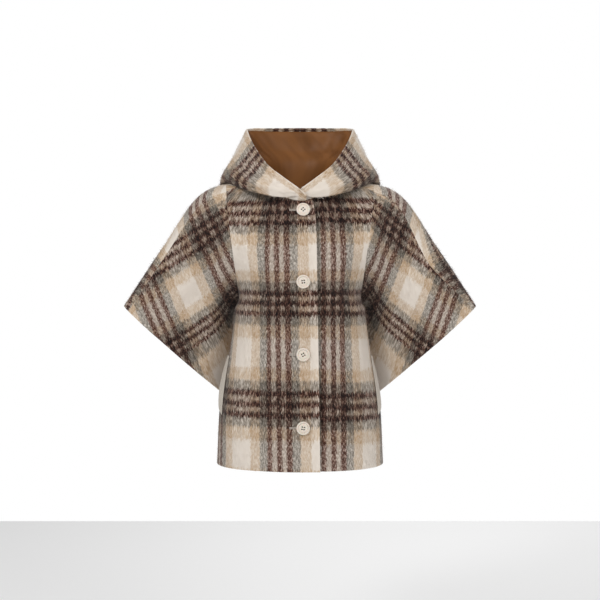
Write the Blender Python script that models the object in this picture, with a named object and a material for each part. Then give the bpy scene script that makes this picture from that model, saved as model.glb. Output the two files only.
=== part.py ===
import math
from collections import namedtuple

import bmesh
import bpy
import numpy as np

# Hooded cape coat in brushed blanket wool, held open as if on a form.
# Metres, +Z up, front towards -Y. The origin lies at the middle of the neck, level with the shoulders.

# Cloth
WOOL = 0.003
SATIN = 0.001
WELT_CLOTH = 0.002
SEAM_GAP = 0.0004
LYING_GAP = 0.0008

# Lap of the right front over the left
LAP_LIFT = 0.0056
LAP_FULL = 0.030
LAP_END = 0.090
LAP_OPEN = 0.0030
BUTTON_LINE = 0.007

# Neck seam, an oval around the origin
NECK_WIDTH = 0.085
NECK_FRONT = 0.092
NECK_BACK = 0.075
SHOULDER_ANGLE = 82.0

# How finely each panel is drawn
NECK_FRONT_STEPS = 6
NECK_BACK_STEPS = 7
SHOULDER_STEPS = 4
ARMHOLE_STEPS = 10
RIDGE_STEPS = 2
ARMHOLE_CLOSING = 1.5
SIDE_STEPS = 8
SLEEVE_STEPS = 9

# Buttons
BUTTON_RADIUS = 0.0150
BUTTON_HEIGHT = 0.0046
BUTTON_RIM = 0.0030
BUTTON_SLOPE = 0.0018
BUTTON_DISH = 0.0012
BUTTON_EDGE = 0.0009
HOLE_RADIUS = 0.0013
HOLE_SPACING = 0.0027
HOLE_SIDES = 8
BUTTON_SIDES = 24
BUTTON_REACH = 0.02
BUTTON_STAND = 0.0012
BUTTON_HEIGHTS = (-0.0460, -0.2010, -0.3590, -0.5195)

# Pocket welts, on the side of each front
WELT_TOP = -0.372
WELT_BOTTOM = -0.502
WELT_FRONT = 0.79
WELT_BEHIND = 0.94
WELT_SLANT = 0.012
WELT_ACROSS = 3
WELT_DOWN = 9

# Where the middle of the front lies, from the neck seam down
Level = namedtuple("Level", "down y z")
FRONT_CENTRE = (
    Level(0.00, -0.092, -0.026),
    Level(0.12, -0.110, -0.078),
    Level(0.26, -0.122, -0.165),
    Level(0.42, -0.125, -0.268),
    Level(0.60, -0.123, -0.365),
    Level(0.80, -0.124, -0.485),
    Level(1.00, -0.128, -0.616),
)
BACK_CENTRE = (
    Level(0.00, 0.075, 0.050),
    Level(0.10, 0.085, 0.028),
    Level(0.20, 0.099, -0.040),
    Level(0.31, 0.108, -0.140),
    Level(0.42, 0.107, -0.262),
    Level(0.60, 0.108, -0.365),
    Level(0.80, 0.117, -0.485),
    Level(1.00, 0.124, -0.622),
)

# The side seam, from the underarm to the hem
Side = namedtuple("Side", "down x y z")
SIDE_SEAM = (
    Side(0.42, 0.135, 0.058, -0.262),
    Side(0.60, 0.155, 0.036, -0.360),
    Side(0.80, 0.180, 0.014, -0.477),
    Side(1.00, 0.188, 0.004, -0.617),
)
Width = namedtuple("Width", "down half_width")
BODY_WIDTH = (
    Width(0.00, 0.196),
    Width(0.14, 0.178),
    Width(0.28, 0.158),
    Width(0.42, 0.147),
    Width(0.60, 0.157),
    Width(0.80, 0.181),
    Width(1.00, 0.189),
)
UNDERARM = 0.42
SIDE_LINE = 0.012
FULLNESS = 1.10
OPEN_LEAST = -0.60
OPEN_MOST = 0.97
TOP_FADE = 0.30

# Sections through the sleeve: its ridge, its underarm seam and how far it stands out in front and behind
Section = namedtuple(
    "Section", "along ridge_x ridge_y ridge_z under_x under_y under_z front back round seam_right seam_left"
)
SLEEVE = (
    Section(0.00, 0.165, 0.004, 0.013, 0.135, 0.058, -0.262, 0.112, 0.050, 0.42, 0.20, 0.20),
    Section(0.09, 0.194, 0.005, 0.005, 0.148, 0.072, -0.284, 0.106, 0.050, 0.48, 0.20, 0.21),
    Section(0.22, 0.224, 0.006, -0.012, 0.150, 0.085, -0.322, 0.094, 0.049, 0.55, 0.20, 0.23),
    Section(0.58, 0.307, 0.008, -0.127, 0.149, 0.096, -0.405, 0.070, 0.046, 0.68, 0.19, 0.29),
    Section(1.00, 0.397, 0.010, -0.261, 0.153, 0.102, -0.490, 0.052, 0.038, 0.75, 0.17, 0.14),
)
FULL_ALONG = 0.60
FULL_SHARE = 0.375

# Profiles of the hood around the neck: neck seam, short stand, hanging fold, outer wall, face edge
Profile = namedtuple("Profile", "angle stand fold_x fold_y fold_z curl swell edge_x edge_y edge_z")
HOOD = (
    Profile(-9, 0.002, -0.0133, -0.0965, -0.0205, 0.0000, 0.000, -0.0135, -0.0990, -0.0150),
    Profile(0, 0.003, 0.0000, -0.0970, -0.0155, 0.0000, 0.000, 0.0015, -0.1020, -0.0010),
    Profile(20, 0.003, 0.0340, -0.0990, -0.0195, 0.0070, 0.000, 0.0340, -0.0970, 0.0240),
    Profile(45, 0.005, 0.0835, -0.0965, -0.0120, 0.0130, 0.000, 0.0680, -0.0750, 0.0510),
    Profile(65, 0.008, 0.1220, -0.0660, -0.0010, 0.0125, 0.000, 0.0880, -0.0470, 0.0760),
    Profile(82, 0.012, 0.1505, -0.0290, 0.0165, 0.0115, 0.000, 0.1060, -0.0130, 0.1040),
    Profile(103, 0.014, 0.1690, 0.0250, 0.0155, 0.0110, 0.000, 0.1190, 0.0300, 0.1320),
    Profile(128, 0.014, 0.1600, 0.0860, -0.0270, 0.0145, 0.006, 0.1160, 0.0640, 0.1405),
    Profile(155, 0.014, 0.0900, 0.1300, -0.1000, 0.0170, 0.016, 0.0600, 0.0840, 0.1425),
    Profile(180, 0.014, 0.0000, 0.1400, -0.1240, 0.0180, 0.018, 0.0000, 0.0880, 0.1430),
)
PROFILE_STOPS = (0.0, 0.10, 0.37, 0.43, 0.49, 0.75, 1.0)
STAND_STOPS = (0.0, 0.02, 0.06, 0.10, 0.15, 0.22, 0.30, 0.37, 0.40)
WALL_STOPS = (0.43, 0.46, 0.49, 0.58, 0.68, 0.79, 0.89, 0.978, 1.0)
HOOD_STOPS = STAND_STOPS + WALL_STOPS
STAND_LEAN = 0.5
CURL_OUT = 0.7
FLAT_SPREAD = 0.004
FLAT_CURL = 0.007
LINING_ANGLE = 40.0
FACING_END = 0.33
FACING_STEPS = 3

# How far each front and each end of the hood runs past the middle
Lap = namedtuple("Lap", "side neck_angle top hem lifted")
RIGHT = Lap(-1.0, -9.0, 0.034, 0.044, True)
LEFT = Lap(1.0, -2.0, 0.021, 0.023, False)
CORNER_DOWN = 0.036
CORNER_MIDDLE = 0.68
CORNER_SHARE = 0.30

for old in list(bpy.data.objects):
    bpy.data.objects.remove(old, do_unlink=True)


# Smooth curves through the rows of a table
def smooth(stops, values, where):
    stops = np.asarray(stops, float)
    values = np.asarray(values, float)
    slopes = np.gradient(values, stops, axis=0)
    place = min(max(int(np.searchsorted(stops, where, "right")) - 1, 0), len(stops) - 2)
    width = stops[place + 1] - stops[place]
    t = (where - stops[place]) / width
    return (
        (2 * t**3 - 3 * t**2 + 1) * values[place]
        + (t**3 - 2 * t**2 + t) * width * slopes[place]
        + (3 * t**2 - 2 * t**3) * values[place + 1]
        + (t**3 - t**2) * width * slopes[place + 1]
    )


def table_at(table, where):
    return smooth([row[0] for row in table], [row[1:] for row in table], where)


def bend(first, second, third, fourth, t):
    return (
        (1 - t) ** 3 * np.asarray(first)
        + 3 * t * (1 - t) ** 2 * np.asarray(second)
        + 3 * t**2 * (1 - t) * np.asarray(third)
        + t**3 * np.asarray(fourth)
    )


def ease(t):
    t = min(max(t, 0.0), 1.0)
    return t * t * (3 - 2 * t)


# Shapes shared by the panels, drawn on the side where x is measured outwards
NECK_HEIGHT = ((-20, -0.024), (0, -0.026), (40, -0.008), (82, 0.038), (125, 0.050), (180, 0.050))


def neck(angle):
    turn = math.radians(angle)
    depth = NECK_FRONT if angle < 90 else NECK_BACK
    height = float(table_at(NECK_HEIGHT, angle)[0])
    return np.array((NECK_WIDTH * math.sin(turn), -depth * math.cos(turn), height))


def sleeve_section(along, around):
    row = Section(along, *table_at(SLEEVE, along))
    ridge = np.array((row.ridge_x, row.ridge_y, row.ridge_z))
    under = np.array((row.under_x, row.under_y, row.under_z))
    reach = (row.front if around > 0 else row.back) / (FULL_SHARE * (1 + row.round))
    facing = -1.0 if around > 0 else 1.0
    share, out = bend((0, 0), (0, row.round * reach), (FULL_ALONG, reach), (1, 0), abs(around))
    point = ridge + share * (under - ridge)
    point[1] += facing * out
    return point


def seam_place(along, side):
    row = Section(along, *table_at(SLEEVE, along))
    return row.seam_right if side < 0 else row.seam_left


def armhole_share(step):
    return 1 - (1 - step / ARMHOLE_STEPS) ** ARMHOLE_CLOSING


RIDGE_SHARE = armhole_share(RIDGE_STEPS)


def around_front(along, share, side):
    start = seam_place(along, side)
    return start + (1 - start) * share


def around_back(along, share, side):
    start = seam_place(along, side)
    if share < RIDGE_SHARE:
        return start * (1 - share / RIDGE_SHARE)
    return -(share - RIDGE_SHARE) / (1 - RIDGE_SHARE)


def front_side(down, side):
    if down >= UNDERARM:
        return table_at(SIDE_SEAM, down)
    return sleeve_section(0.0, around_front(0.0, down / UNDERARM, side))


def back_side(down, side):
    if down >= UNDERARM:
        return table_at(SIDE_SEAM, down)
    return sleeve_section(0.0, around_back(0.0, down / UNDERARM, side))


def level_curve(centre, end, wide, across):
    depth = centre[0] - SIDE_LINE
    share = min(max((end[1] - SIDE_LINE) / depth, OPEN_LEAST), OPEN_MOST)
    turn = math.acos(share)
    reach = 4 / 3 * math.tan(turn / 4) * FULLNESS
    middle = np.array((0.0, centre[0], centre[1]))
    near = np.array((reach * wide, centre[0], centre[1]))
    far_x = end[0] - reach * wide * math.cos(turn)
    far = np.array((far_x, end[1] + depth * reach * math.sin(turn), 0.5 * (centre[1] + end[2])))
    point = bend(middle, near, far, end, abs(across))
    if across < 0:
        point = point * np.array((-1, 1, 1))
    return point


def top_curve(neck_from, neck_to, shoulder_end, across, neck_share):
    if across <= neck_share:
        return neck(neck_from + (neck_to - neck_from) * across / neck_share)
    corner = neck(neck_to)
    return corner + (shoulder_end - corner) * (across - neck_share) / (1 - neck_share)


FRONT_NECK_SHARE = NECK_FRONT_STEPS / (NECK_FRONT_STEPS + SHOULDER_STEPS)
BACK_NECK_SHARE = NECK_BACK_STEPS / (NECK_BACK_STEPS + SHOULDER_STEPS)


def fade_from_top(down):
    return (1 - min(down / TOP_FADE, 1.0)) ** 2


def front_point(across, down, side):
    end = front_side(down, side)
    wide = float(table_at(BODY_WIDTH, down)[0])
    point = level_curve(table_at(FRONT_CENTRE, down), end, wide, across)
    top_end = front_side(0.0, side)
    if across >= 0:
        top = top_curve(0.0, SHOULDER_ANGLE, top_end, across, FRONT_NECK_SHARE)
    else:
        top = neck(across * SHOULDER_ANGLE / FRONT_NECK_SHARE)
    plain = level_curve(table_at(FRONT_CENTRE, 0.0), top_end, BODY_WIDTH[0].half_width, across)
    return point + fade_from_top(down) * (top - plain)


def back_point(across, down, side):
    end = back_side(down, side)
    wide = float(table_at(BODY_WIDTH, down)[0])
    point = level_curve(table_at(BACK_CENTRE, down), end, wide, across)
    top_end = back_side(0.0, side)
    top = top_curve(180.0, SHOULDER_ANGLE, top_end, across, BACK_NECK_SHARE)
    plain = level_curve(table_at(BACK_CENTRE, 0.0), top_end, BODY_WIDTH[0].half_width, across)
    return point + fade_from_top(down) * (top - plain)


def hood_point(angle, up):
    row = Profile(angle, *table_at(HOOD, angle))
    outward = np.array((math.sin(math.radians(angle)), -math.cos(math.radians(angle)), 0.0))
    upward = np.array((0.0, 0.0, 1.0))
    seam = neck(angle)
    fold = np.array((row.fold_x, row.fold_y, row.fold_z))
    edge = np.array((row.edge_x, row.edge_y, row.edge_z))
    rise = (edge - seam) / np.linalg.norm(edge - seam)
    spread = rise * FLAT_SPREAD * max(1 - row.curl / FLAT_CURL, 0.0)
    stand = seam + row.stand * (outward * STAND_LEAN + upward)
    inner = fold + row.curl * (upward - outward) - spread
    outer = fold + row.curl * (upward + outward * CURL_OUT) + spread
    wall = 0.5 * (outer + edge) + row.swell * outward
    return smooth(PROFILE_STOPS, (seam, stand, inner, fold, outer, wall, edge), up)


# The lap: the right front and the right end of the hood lie over the left ones
def lap_shift(x):
    return LAP_LIFT * ease((LAP_END + x) / (LAP_END - LAP_FULL)) if x < 0 else LAP_LIFT


def placed(point, lap):
    x = lap.side * point[0]
    y = point[1]
    if lap.lifted and y < 0:
        y -= lap_shift(x)
    return (x, y, point[2])


# Panels as grids of points, first index down or along, second index across
def down_stops():
    armhole = [UNDERARM * armhole_share(step) for step in range(ARMHOLE_STEPS)]
    side = [UNDERARM + (1 - UNDERARM) * step / SIDE_STEPS for step in range(SIDE_STEPS + 1)]
    return armhole + side


def lap_across(reach, down, side):
    trial = np.linspace(0, 0.6, 61)
    widths = [-front_point(-value, down, side)[0] for value in trial]
    return -float(np.interp(reach, widths, trial))


def front_grid(lap):
    steps = NECK_FRONT_STEPS + SHOULDER_STEPS
    hood_end = lap.neck_angle / SHOULDER_ANGLE * FRONT_NECK_SHARE
    grid = []
    for down in down_stops():
        reach = lap.top + (lap.hem - lap.top) * down
        edge = lap_across(reach, down, lap.side)
        middle = hood_end + (edge - hood_end) * CORNER_MIDDLE
        columns = [edge, middle, hood_end] + [step / steps for step in range(steps + 1)]
        drop = CORNER_DOWN * fade_from_top(down)
        downs = [down + drop, down + drop * CORNER_SHARE] + [down] * (steps + 2)
        row = [front_point(across, place, lap.side) for across, place in zip(columns, downs)]
        grid.append([placed(point, lap) for point in row])
    return np.array(grid)


def back_grid():
    steps = NECK_BACK_STEPS + SHOULDER_STEPS
    grid = []
    for down in down_stops():
        right = [placed(back_point(step / steps, down, RIGHT.side), RIGHT) for step in range(steps, 0, -1)]
        left = [placed(back_point(step / steps, down, LEFT.side), LEFT) for step in range(steps + 1)]
        grid.append(right + left)
    return np.array(grid)


def sleeve_grid(lap, around):
    grid = []
    for step in range(SLEEVE_STEPS + 1):
        along = step / SLEEVE_STEPS
        places = [around(along, armhole_share(turn), lap.side) for turn in range(ARMHOLE_STEPS + 1)]
        grid.append([placed(sleeve_section(along, place), lap) for place in places])
    return np.array(grid)


def hood_angles(lap):
    front = [SHOULDER_ANGLE * step / NECK_FRONT_STEPS for step in range(NECK_FRONT_STEPS)]
    rest = 180.0 - SHOULDER_ANGLE
    behind = [SHOULDER_ANGLE + rest * step / NECK_BACK_STEPS for step in range(NECK_BACK_STEPS + 1)]
    return [lap.neck_angle] + front + behind


def hood_placed(angle, up, lap):
    x, y, z = placed(hood_point(angle, up), lap)
    if lap.lifted and y < 0:
        y -= LAP_OPEN * up * lap_shift(x) / LAP_LIFT
    return (x, y, z)


def hood_grid(lap):
    return np.array([[hood_placed(angle, up, lap) for up in HOOD_STOPS] for angle in hood_angles(lap)])


# Walls: every grid is given its thickness inwards, mitred where two pieces share a seam
FLAT_CORNER = 0.6
SHARPEST = 0.45
SHALLOWEST = 0.3
CORNER_NOTCH = 0.004


def grid_normals(grid):
    down = np.gradient(grid, axis=0)
    across = np.gradient(grid, axis=1)
    normals = np.cross(down, across)
    return normals / np.linalg.norm(normals, axis=2, keepdims=True)


def facing_out(grid, outside):
    normals = grid_normals(grid)
    rows, columns = normals.shape[:2]
    if np.dot(normals[rows // 2, columns // 2], outside) < 0:
        grid = grid[:, ::-1]
    return grid


def seam_key(point):
    return tuple(int(round(value * 1e6)) for value in point)


panels = {
    "front_right": facing_out(front_grid(RIGHT), (0, -1, 0)),
    "front_left": facing_out(front_grid(LEFT), (0, -1, 0)),
    "back": facing_out(back_grid(), (0, 1, 0)),
    "sleeve_right_front": facing_out(sleeve_grid(RIGHT, around_front), (0, -1, 0)),
    "sleeve_right_back": facing_out(sleeve_grid(RIGHT, around_back), (0, 1, 0)),
    "sleeve_left_front": facing_out(sleeve_grid(LEFT, around_front), (0, -1, 0)),
    "sleeve_left_back": facing_out(sleeve_grid(LEFT, around_back), (0, 1, 0)),
    "hood_right": facing_out(hood_grid(RIGHT), (-0.5, 0, -1)),
    "hood_left": facing_out(hood_grid(LEFT), (0.5, 0, -1)),
}

meeting = {}
for grid in panels.values():
    rows, columns = grid.shape[:2]
    normals = grid_normals(grid)
    for row in range(rows):
        for column in range(columns):
            if row in (0, rows - 1) or column in (0, columns - 1):
                meeting.setdefault(seam_key(grid[row, column]), []).append(normals[row, column])


def inner_offsets(grid, thickness):
    normals = grid_normals(grid)
    offsets = normals * thickness
    rows, columns = grid.shape[:2]
    for row in range(rows):
        for column in range(columns):
            sharing = meeting.get(seam_key(grid[row, column]), [])
            if len(sharing) > 1:
                mitre = np.sum(sharing, axis=0)
                mitre = mitre / np.linalg.norm(mitre)
                lean = np.mean([np.dot(mitre, normal) for normal in sharing])
                if len(sharing) < 4 or lean > FLAT_CORNER:
                    offsets[row, column] = mitre * thickness / max(lean, SHARPEST)
    return offsets


def folded_corner(point):
    sharing = meeting.get(seam_key(point), [])
    if len(sharing) < 4:
        return False
    return float(np.linalg.norm(np.sum(sharing, axis=0))) < FLAT_CORNER * len(sharing)


def drawn_back(grid, offsets):
    moved = np.zeros_like(grid)
    rows, columns = grid.shape[:2]
    edges = (
        [((0, column), (1, column)) for column in range(columns)],
        [((rows - 1, column), (rows - 2, column)) for column in range(columns)],
        [((row, 0), (row, 1)) for row in range(rows)],
        [((row, columns - 1), (row, columns - 2)) for row in range(rows)],
    )
    for edge in edges:
        shared = [len(meeting.get(seam_key(grid[place]), [])) > 1 for place, _ in edge]
        for number, (place, inside) in enumerate(edge):
            beside = [other for other in (number - 1, number + 1) if 0 <= other < len(edge) and shared[other]]
            if not shared[number] or not beside:
                continue
            inward = grid[inside] - grid[place]
            inward = inward / np.linalg.norm(inward)
            run = grid[edge[beside[-1]][0]] - grid[edge[beside[0]][0]]
            if len(beside) == 1:
                run = grid[edge[beside[0]][0]] - grid[place]
            across = np.cross(run, offsets[place])
            across = across / np.linalg.norm(across)
            moved[place] += inward * 0.5 * SEAM_GAP / max(abs(np.dot(inward, across)), SHALLOWEST)
            if folded_corner(grid[place]):
                moved[place] += inward * CORNER_NOTCH
    return moved


def wall_mesh(name, outer, inner, keys):
    rows, columns = outer.shape[:2]
    count = rows * columns
    points = np.concatenate((outer.reshape(-1, 3), inner.reshape(-1, 3)))
    number = np.arange(count).reshape(rows, columns)
    faces = []
    for row in range(rows - 1):
        for column in range(columns - 1):
            a, b = number[row, column], number[row + 1, column]
            c, d = number[row + 1, column + 1], number[row, column + 1]
            faces += [(a, b, c), (a, c, d)]
            faces += [(a + count, c + count, b + count), (a + count, d + count, c + count)]
    border = (
        list(number[0, :])
        + list(number[1:, -1])
        + list(number[-1, -2::-1])
        + list(number[-2:0:-1, 0])
    )
    for a, b in zip(border, border[1:] + border[:1]):
        if keys[a] < keys[b]:
            faces += [(a, b, b + count), (a, b + count, a + count)]
        else:
            faces += [(a, b, a + count), (b, b + count, a + count)]
    return solid(name, points, faces)


def solid(name, points, faces):
    mesh = bpy.data.meshes.new(name)
    mesh.from_pydata([tuple(point) for point in points], [], [tuple(int(i) for i in face) for face in faces])
    mesh.validate()
    mesh.polygons.foreach_set("use_smooth", [True] * len(mesh.polygons))
    made = bpy.data.objects.new(name, mesh)
    bpy.context.scene.collection.objects.link(made)
    return made


def material(name, colour, roughness):
    made = bpy.data.materials.new(name)
    made.use_nodes = True
    shader = made.node_tree.nodes["Principled BSDF"]
    shader.inputs["Base Color"].default_value = (*colour, 1.0)
    shader.inputs["Roughness"].default_value = roughness
    return made


PLAID = material("plaid_wool", (0.45, 0.38, 0.31), 0.95)
BROWN_SATIN = material("brown_satin", (0.15, 0.07, 0.03), 0.45)
CREAM_WOOL = material("cream_wool", (0.55, 0.49, 0.42), 0.95)
BUTTON_RESIN = material("button_resin", (0.68, 0.58, 0.48), 0.35)

offsets_of = {}
for name, grid in panels.items():
    offsets = inner_offsets(grid, WOOL)
    offsets_of[name] = offsets
    moved = drawn_back(grid, offsets)
    keys = [seam_key(point) for point in grid.reshape(-1, 3)]
    made = wall_mesh(name, grid + moved, grid + moved - offsets, keys)
    made.data.materials.append(PLAID)


# Hood lining, one sheet lying against the inside of both halves
def lining_half(name, lap, depth):
    first = sum(1 for angle in hood_angles(lap) if angle < LINING_ANGLE)
    sheet = panels[name] - offsets_of[name] * depth / WOOL
    return sheet[first:, 1:-1]


def lining_grid(depth):
    right = lining_half("hood_right", RIGHT, depth)
    left = lining_half("hood_left", LEFT, depth)
    return np.concatenate((right, left[-2::-1, ::-1]))


# Neck facing, the satin that shows inside the back of the neck
def facing_grid():
    steps = NECK_BACK_STEPS + SHOULDER_STEPS
    grid = []
    for down in [down for down in down_stops() if 0 < down < FACING_END]:
        right = [placed(back_point(step / steps, down, RIGHT.side), RIGHT) for step in range(FACING_STEPS, 0, -1)]
        left = [placed(back_point(step / steps, down, LEFT.side), LEFT) for step in range(FACING_STEPS + 1)]
        grid.append(right + left)
    return facing_out(np.array(grid), (0, 1, 0))


def satin_sheet(name, outer, inner):
    keys = [seam_key(point) for point in outer.reshape(-1, 3)]
    made = wall_mesh(name, outer, inner, keys)
    made.data.materials.append(BROWN_SATIN)


satin_sheet("hood_lining", lining_grid(WOOL + LYING_GAP), lining_grid(WOOL + LYING_GAP + SATIN))

facing = facing_grid()
facing_outer = facing - grid_normals(facing) * (WOOL + LYING_GAP)
satin_sheet("neck_facing", facing_outer, facing_outer - grid_normals(facing) * SATIN)


# Pocket welts, made from the points of the fronts moved out
def down_at_height(height, across, side):
    trial = np.linspace(UNDERARM, 1.0, 59)
    heights = [-front_point(across, value, side)[2] for value in trial]
    return float(np.interp(-height, heights, trial))


def welt(name, lap):
    grid = []
    for row in range(WELT_DOWN + 1):
        height = WELT_TOP + (WELT_BOTTOM - WELT_TOP) * row / WELT_DOWN
        line = []
        for column in range(WELT_ACROSS + 1):
            share = column / WELT_ACROSS
            across = WELT_FRONT + (WELT_BEHIND - WELT_FRONT) * share
            slanted = height + WELT_SLANT * share * row / WELT_DOWN
            down = down_at_height(slanted, across, lap.side)
            line.append(placed(front_point(across, down, lap.side), lap))
        grid.append(line)
    grid = facing_out(np.array(grid), (lap.side, -1, 0))
    normals = grid_normals(grid)
    under = grid + normals * LYING_GAP
    keys = [seam_key(point) for point in grid.reshape(-1, 3)]
    made = wall_mesh(name, under + normals * WELT_CLOTH, under, keys)
    made.data.materials.append(CREAM_WOOL)


welt("pocket_welt_right", RIGHT)
welt("pocket_welt_left", LEFT)


# Buttons, turned discs with a raised rim, a dished middle and four thread holes
def button(name, height):
    trial = np.linspace(0.0, 1.0, 201)
    heights = [-front_point(0.0, value, RIGHT.side)[2] for value in trial]
    down = float(np.interp(-height, heights, trial))
    above = np.array(placed(front_point(0.0, down - BUTTON_REACH, RIGHT.side), RIGHT))
    below = np.array(placed(front_point(0.0, down + BUTTON_REACH, RIGHT.side), RIGHT))
    middle = 0.5 * (above + below)
    slope = (above - below) / np.linalg.norm(above - below)
    outward = np.cross(slope, (1.0, 0.0, 0.0))
    outward = outward if outward[1] < 0 else -outward
    sideways = np.cross(slope, outward)
    centre = middle + outward * BUTTON_STAND
    centre[0] = BUTTON_LINE
    outline = (
        (0.0, 0.0),
        (BUTTON_RADIUS - BUTTON_EDGE, 0.0),
        (BUTTON_RADIUS, BUTTON_EDGE),
        (BUTTON_RADIUS, BUTTON_HEIGHT - BUTTON_EDGE),
        (BUTTON_RADIUS - BUTTON_EDGE, BUTTON_HEIGHT),
        (BUTTON_RADIUS - BUTTON_RIM, BUTTON_HEIGHT),
        (BUTTON_RADIUS - BUTTON_RIM - BUTTON_SLOPE, BUTTON_HEIGHT - BUTTON_DISH),
        (0.0, BUTTON_HEIGHT - BUTTON_DISH),
    )
    mesh = bmesh.new()
    chain = [mesh.verts.new((radius, 0.0, rise)) for radius, rise in outline]
    edges = [mesh.edges.new(pair) for pair in zip(chain, chain[1:])]
    bmesh.ops.spin(
        mesh, geom=chain + edges, cent=(0, 0, 0), axis=(0, 0, 1), angle=math.tau, steps=BUTTON_SIDES
    )
    bmesh.ops.remove_doubles(mesh, verts=mesh.verts, dist=1e-6)
    bmesh.ops.recalc_face_normals(mesh, faces=mesh.faces)
    data = bpy.data.meshes.new(name)
    mesh.to_mesh(data)
    mesh.free()
    data.polygons.foreach_set("use_smooth", [True] * len(data.polygons))
    made = bpy.data.objects.new(name, data)
    bpy.context.scene.collection.objects.link(made)
    data.materials.append(BUTTON_RESIN)

    holes = bmesh.new()
    for across, up in ((-1, -1), (1, -1), (-1, 1), (1, 1)):
        ring = bmesh.ops.create_cone(
            holes,
            cap_ends=True,
            segments=HOLE_SIDES,
            radius1=HOLE_RADIUS,
            radius2=HOLE_RADIUS,
            depth=3 * BUTTON_HEIGHT,
        )
        bmesh.ops.translate(holes, verts=ring["verts"], vec=(across * HOLE_SPACING, up * HOLE_SPACING, 0))
    hole_data = bpy.data.meshes.new(name + "_holes")
    holes.to_mesh(hole_data)
    holes.free()
    cutter = bpy.data.objects.new(name + "_holes", hole_data)
    bpy.context.scene.collection.objects.link(cutter)
    cutter.hide_render = True
    cutter.display_type = "WIRE"

    axes = np.array((sideways, slope, outward)).T
    for item in (made, cutter):
        for point in item.data.vertices:
            point.co = axes @ np.array(point.co) + centre
        item.data.update()
    cut = made.modifiers.new("thread_holes", "BOOLEAN")
    cut.object = cutter
    cut.operation = "DIFFERENCE"
    cut.solver = "EXACT"


for number, height in enumerate(BUTTON_HEIGHTS, 1):
    button("button_" + str(number), height)
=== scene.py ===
import math
from collections import namedtuple

import bmesh
import bpy
import numpy as np
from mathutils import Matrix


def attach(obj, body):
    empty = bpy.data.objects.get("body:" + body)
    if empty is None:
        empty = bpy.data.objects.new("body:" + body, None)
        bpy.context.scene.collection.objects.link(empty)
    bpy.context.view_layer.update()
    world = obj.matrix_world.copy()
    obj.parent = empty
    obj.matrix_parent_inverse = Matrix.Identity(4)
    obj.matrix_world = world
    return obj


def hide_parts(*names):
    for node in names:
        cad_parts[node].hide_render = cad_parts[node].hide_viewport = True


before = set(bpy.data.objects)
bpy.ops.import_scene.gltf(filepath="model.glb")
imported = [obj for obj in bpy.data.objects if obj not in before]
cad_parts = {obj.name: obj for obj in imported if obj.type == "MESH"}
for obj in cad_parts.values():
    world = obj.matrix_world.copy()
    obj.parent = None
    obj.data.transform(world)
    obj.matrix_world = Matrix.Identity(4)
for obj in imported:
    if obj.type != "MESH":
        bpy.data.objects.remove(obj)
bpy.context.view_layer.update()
scene = bpy.context.scene
scene.view_settings.view_transform = "Standard"

# The two fronts are cut from thick blanket wool with the grain along the middle of the coat.
# The right front laps over the left one and carries the buttonholes. Both hang from the shoulder seams,
# are turned under at the hem and at the lap, and are joined to the sleeves and the back by plain seams.
Level = namedtuple("Level", "down y z")
FRONT_CENTRE = (
    Level(0.00, -0.092, -0.026),
    Level(0.12, -0.110, -0.078),
    Level(0.26, -0.122, -0.165),
    Level(0.42, -0.125, -0.268),
    Level(0.60, -0.123, -0.365),
    Level(0.80, -0.124, -0.485),
    Level(1.00, -0.128, -0.616),
)
Side = namedtuple("Side", "down x y z")
SIDE_SEAM = (
    Side(0.42, 0.135, 0.058, -0.262),
    Side(0.60, 0.155, 0.036, -0.360),
    Side(0.80, 0.180, 0.014, -0.477),
    Side(1.00, 0.188, 0.004, -0.617),
)
Width = namedtuple("Width", "down half_width")
BODY_WIDTH = (
    Width(0.00, 0.196),
    Width(0.14, 0.178),
    Width(0.28, 0.158),
    Width(0.42, 0.147),
    Width(0.60, 0.157),
    Width(0.80, 0.181),
    Width(1.00, 0.189),
)
Section = namedtuple(
    "Section", "along ridge_x ridge_y ridge_z under_x under_y under_z front back round seam_right seam_left"
)
SLEEVE = (
    Section(0.00, 0.165, 0.004, 0.013, 0.135, 0.058, -0.262, 0.112, 0.050, 0.42, 0.20, 0.20),
    Section(0.09, 0.194, 0.005, 0.005, 0.148, 0.072, -0.284, 0.106, 0.050, 0.48, 0.20, 0.21),
    Section(0.22, 0.224, 0.006, -0.012, 0.150, 0.085, -0.322, 0.094, 0.049, 0.55, 0.20, 0.23),
    Section(0.58, 0.307, 0.008, -0.127, 0.149, 0.096, -0.405, 0.070, 0.046, 0.68, 0.19, 0.29),
    Section(1.00, 0.397, 0.010, -0.261, 0.153, 0.102, -0.490, 0.052, 0.038, 0.75, 0.17, 0.14),
)
Height = namedtuple("Height", "angle z")
NECK_HEIGHT = (
    Height(-20, -0.024),
    Height(0, -0.026),
    Height(40, -0.008),
    Height(82, 0.038),
    Height(125, 0.050),
    Height(180, 0.050),
)
NECK_WIDTH = 0.085
NECK_FRONT = 0.092
NECK_BACK = 0.075
SHOULDER_ANGLE = 82.0
FRONT_NECK_SHARE = 0.6
UNDERARM = 0.42
SIDE_LINE = 0.012
FULLNESS = 1.10
OPEN_LEAST = -0.60
OPEN_MOST = 0.97
TOP_FADE = 0.30
FULL_ALONG = 0.60
FULL_SHARE = 0.375
RIDGE_SHARE = 1 - 0.8**1.5

Lap = namedtuple("Lap", "side neck_angle top hem lifted")
RIGHT = Lap(-1.0, -9.0, 0.034, 0.044, True)
LEFT = Lap(1.0, -2.0, 0.021, 0.023, False)
LAP_LIFT = 0.0056
LAP_FULL = 0.030
LAP_END = 0.090
CORNER_DOWN = 0.036
CORNER_CLOSING = 3

WOOL = 0.0030
SEAM_GAP = 0.00005
CLOTH_STEP = 0.005
FEWEST_STEPS = 4
EDGE_STOPS = (0.0006, 0.0015, 0.0030)
EDGE_COUNT = len(EDGE_STOPS) + 1
EDGE_CLEAR = 1.5
EDGE_ROUND = 0.0004
TINY = 1e-12


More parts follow.
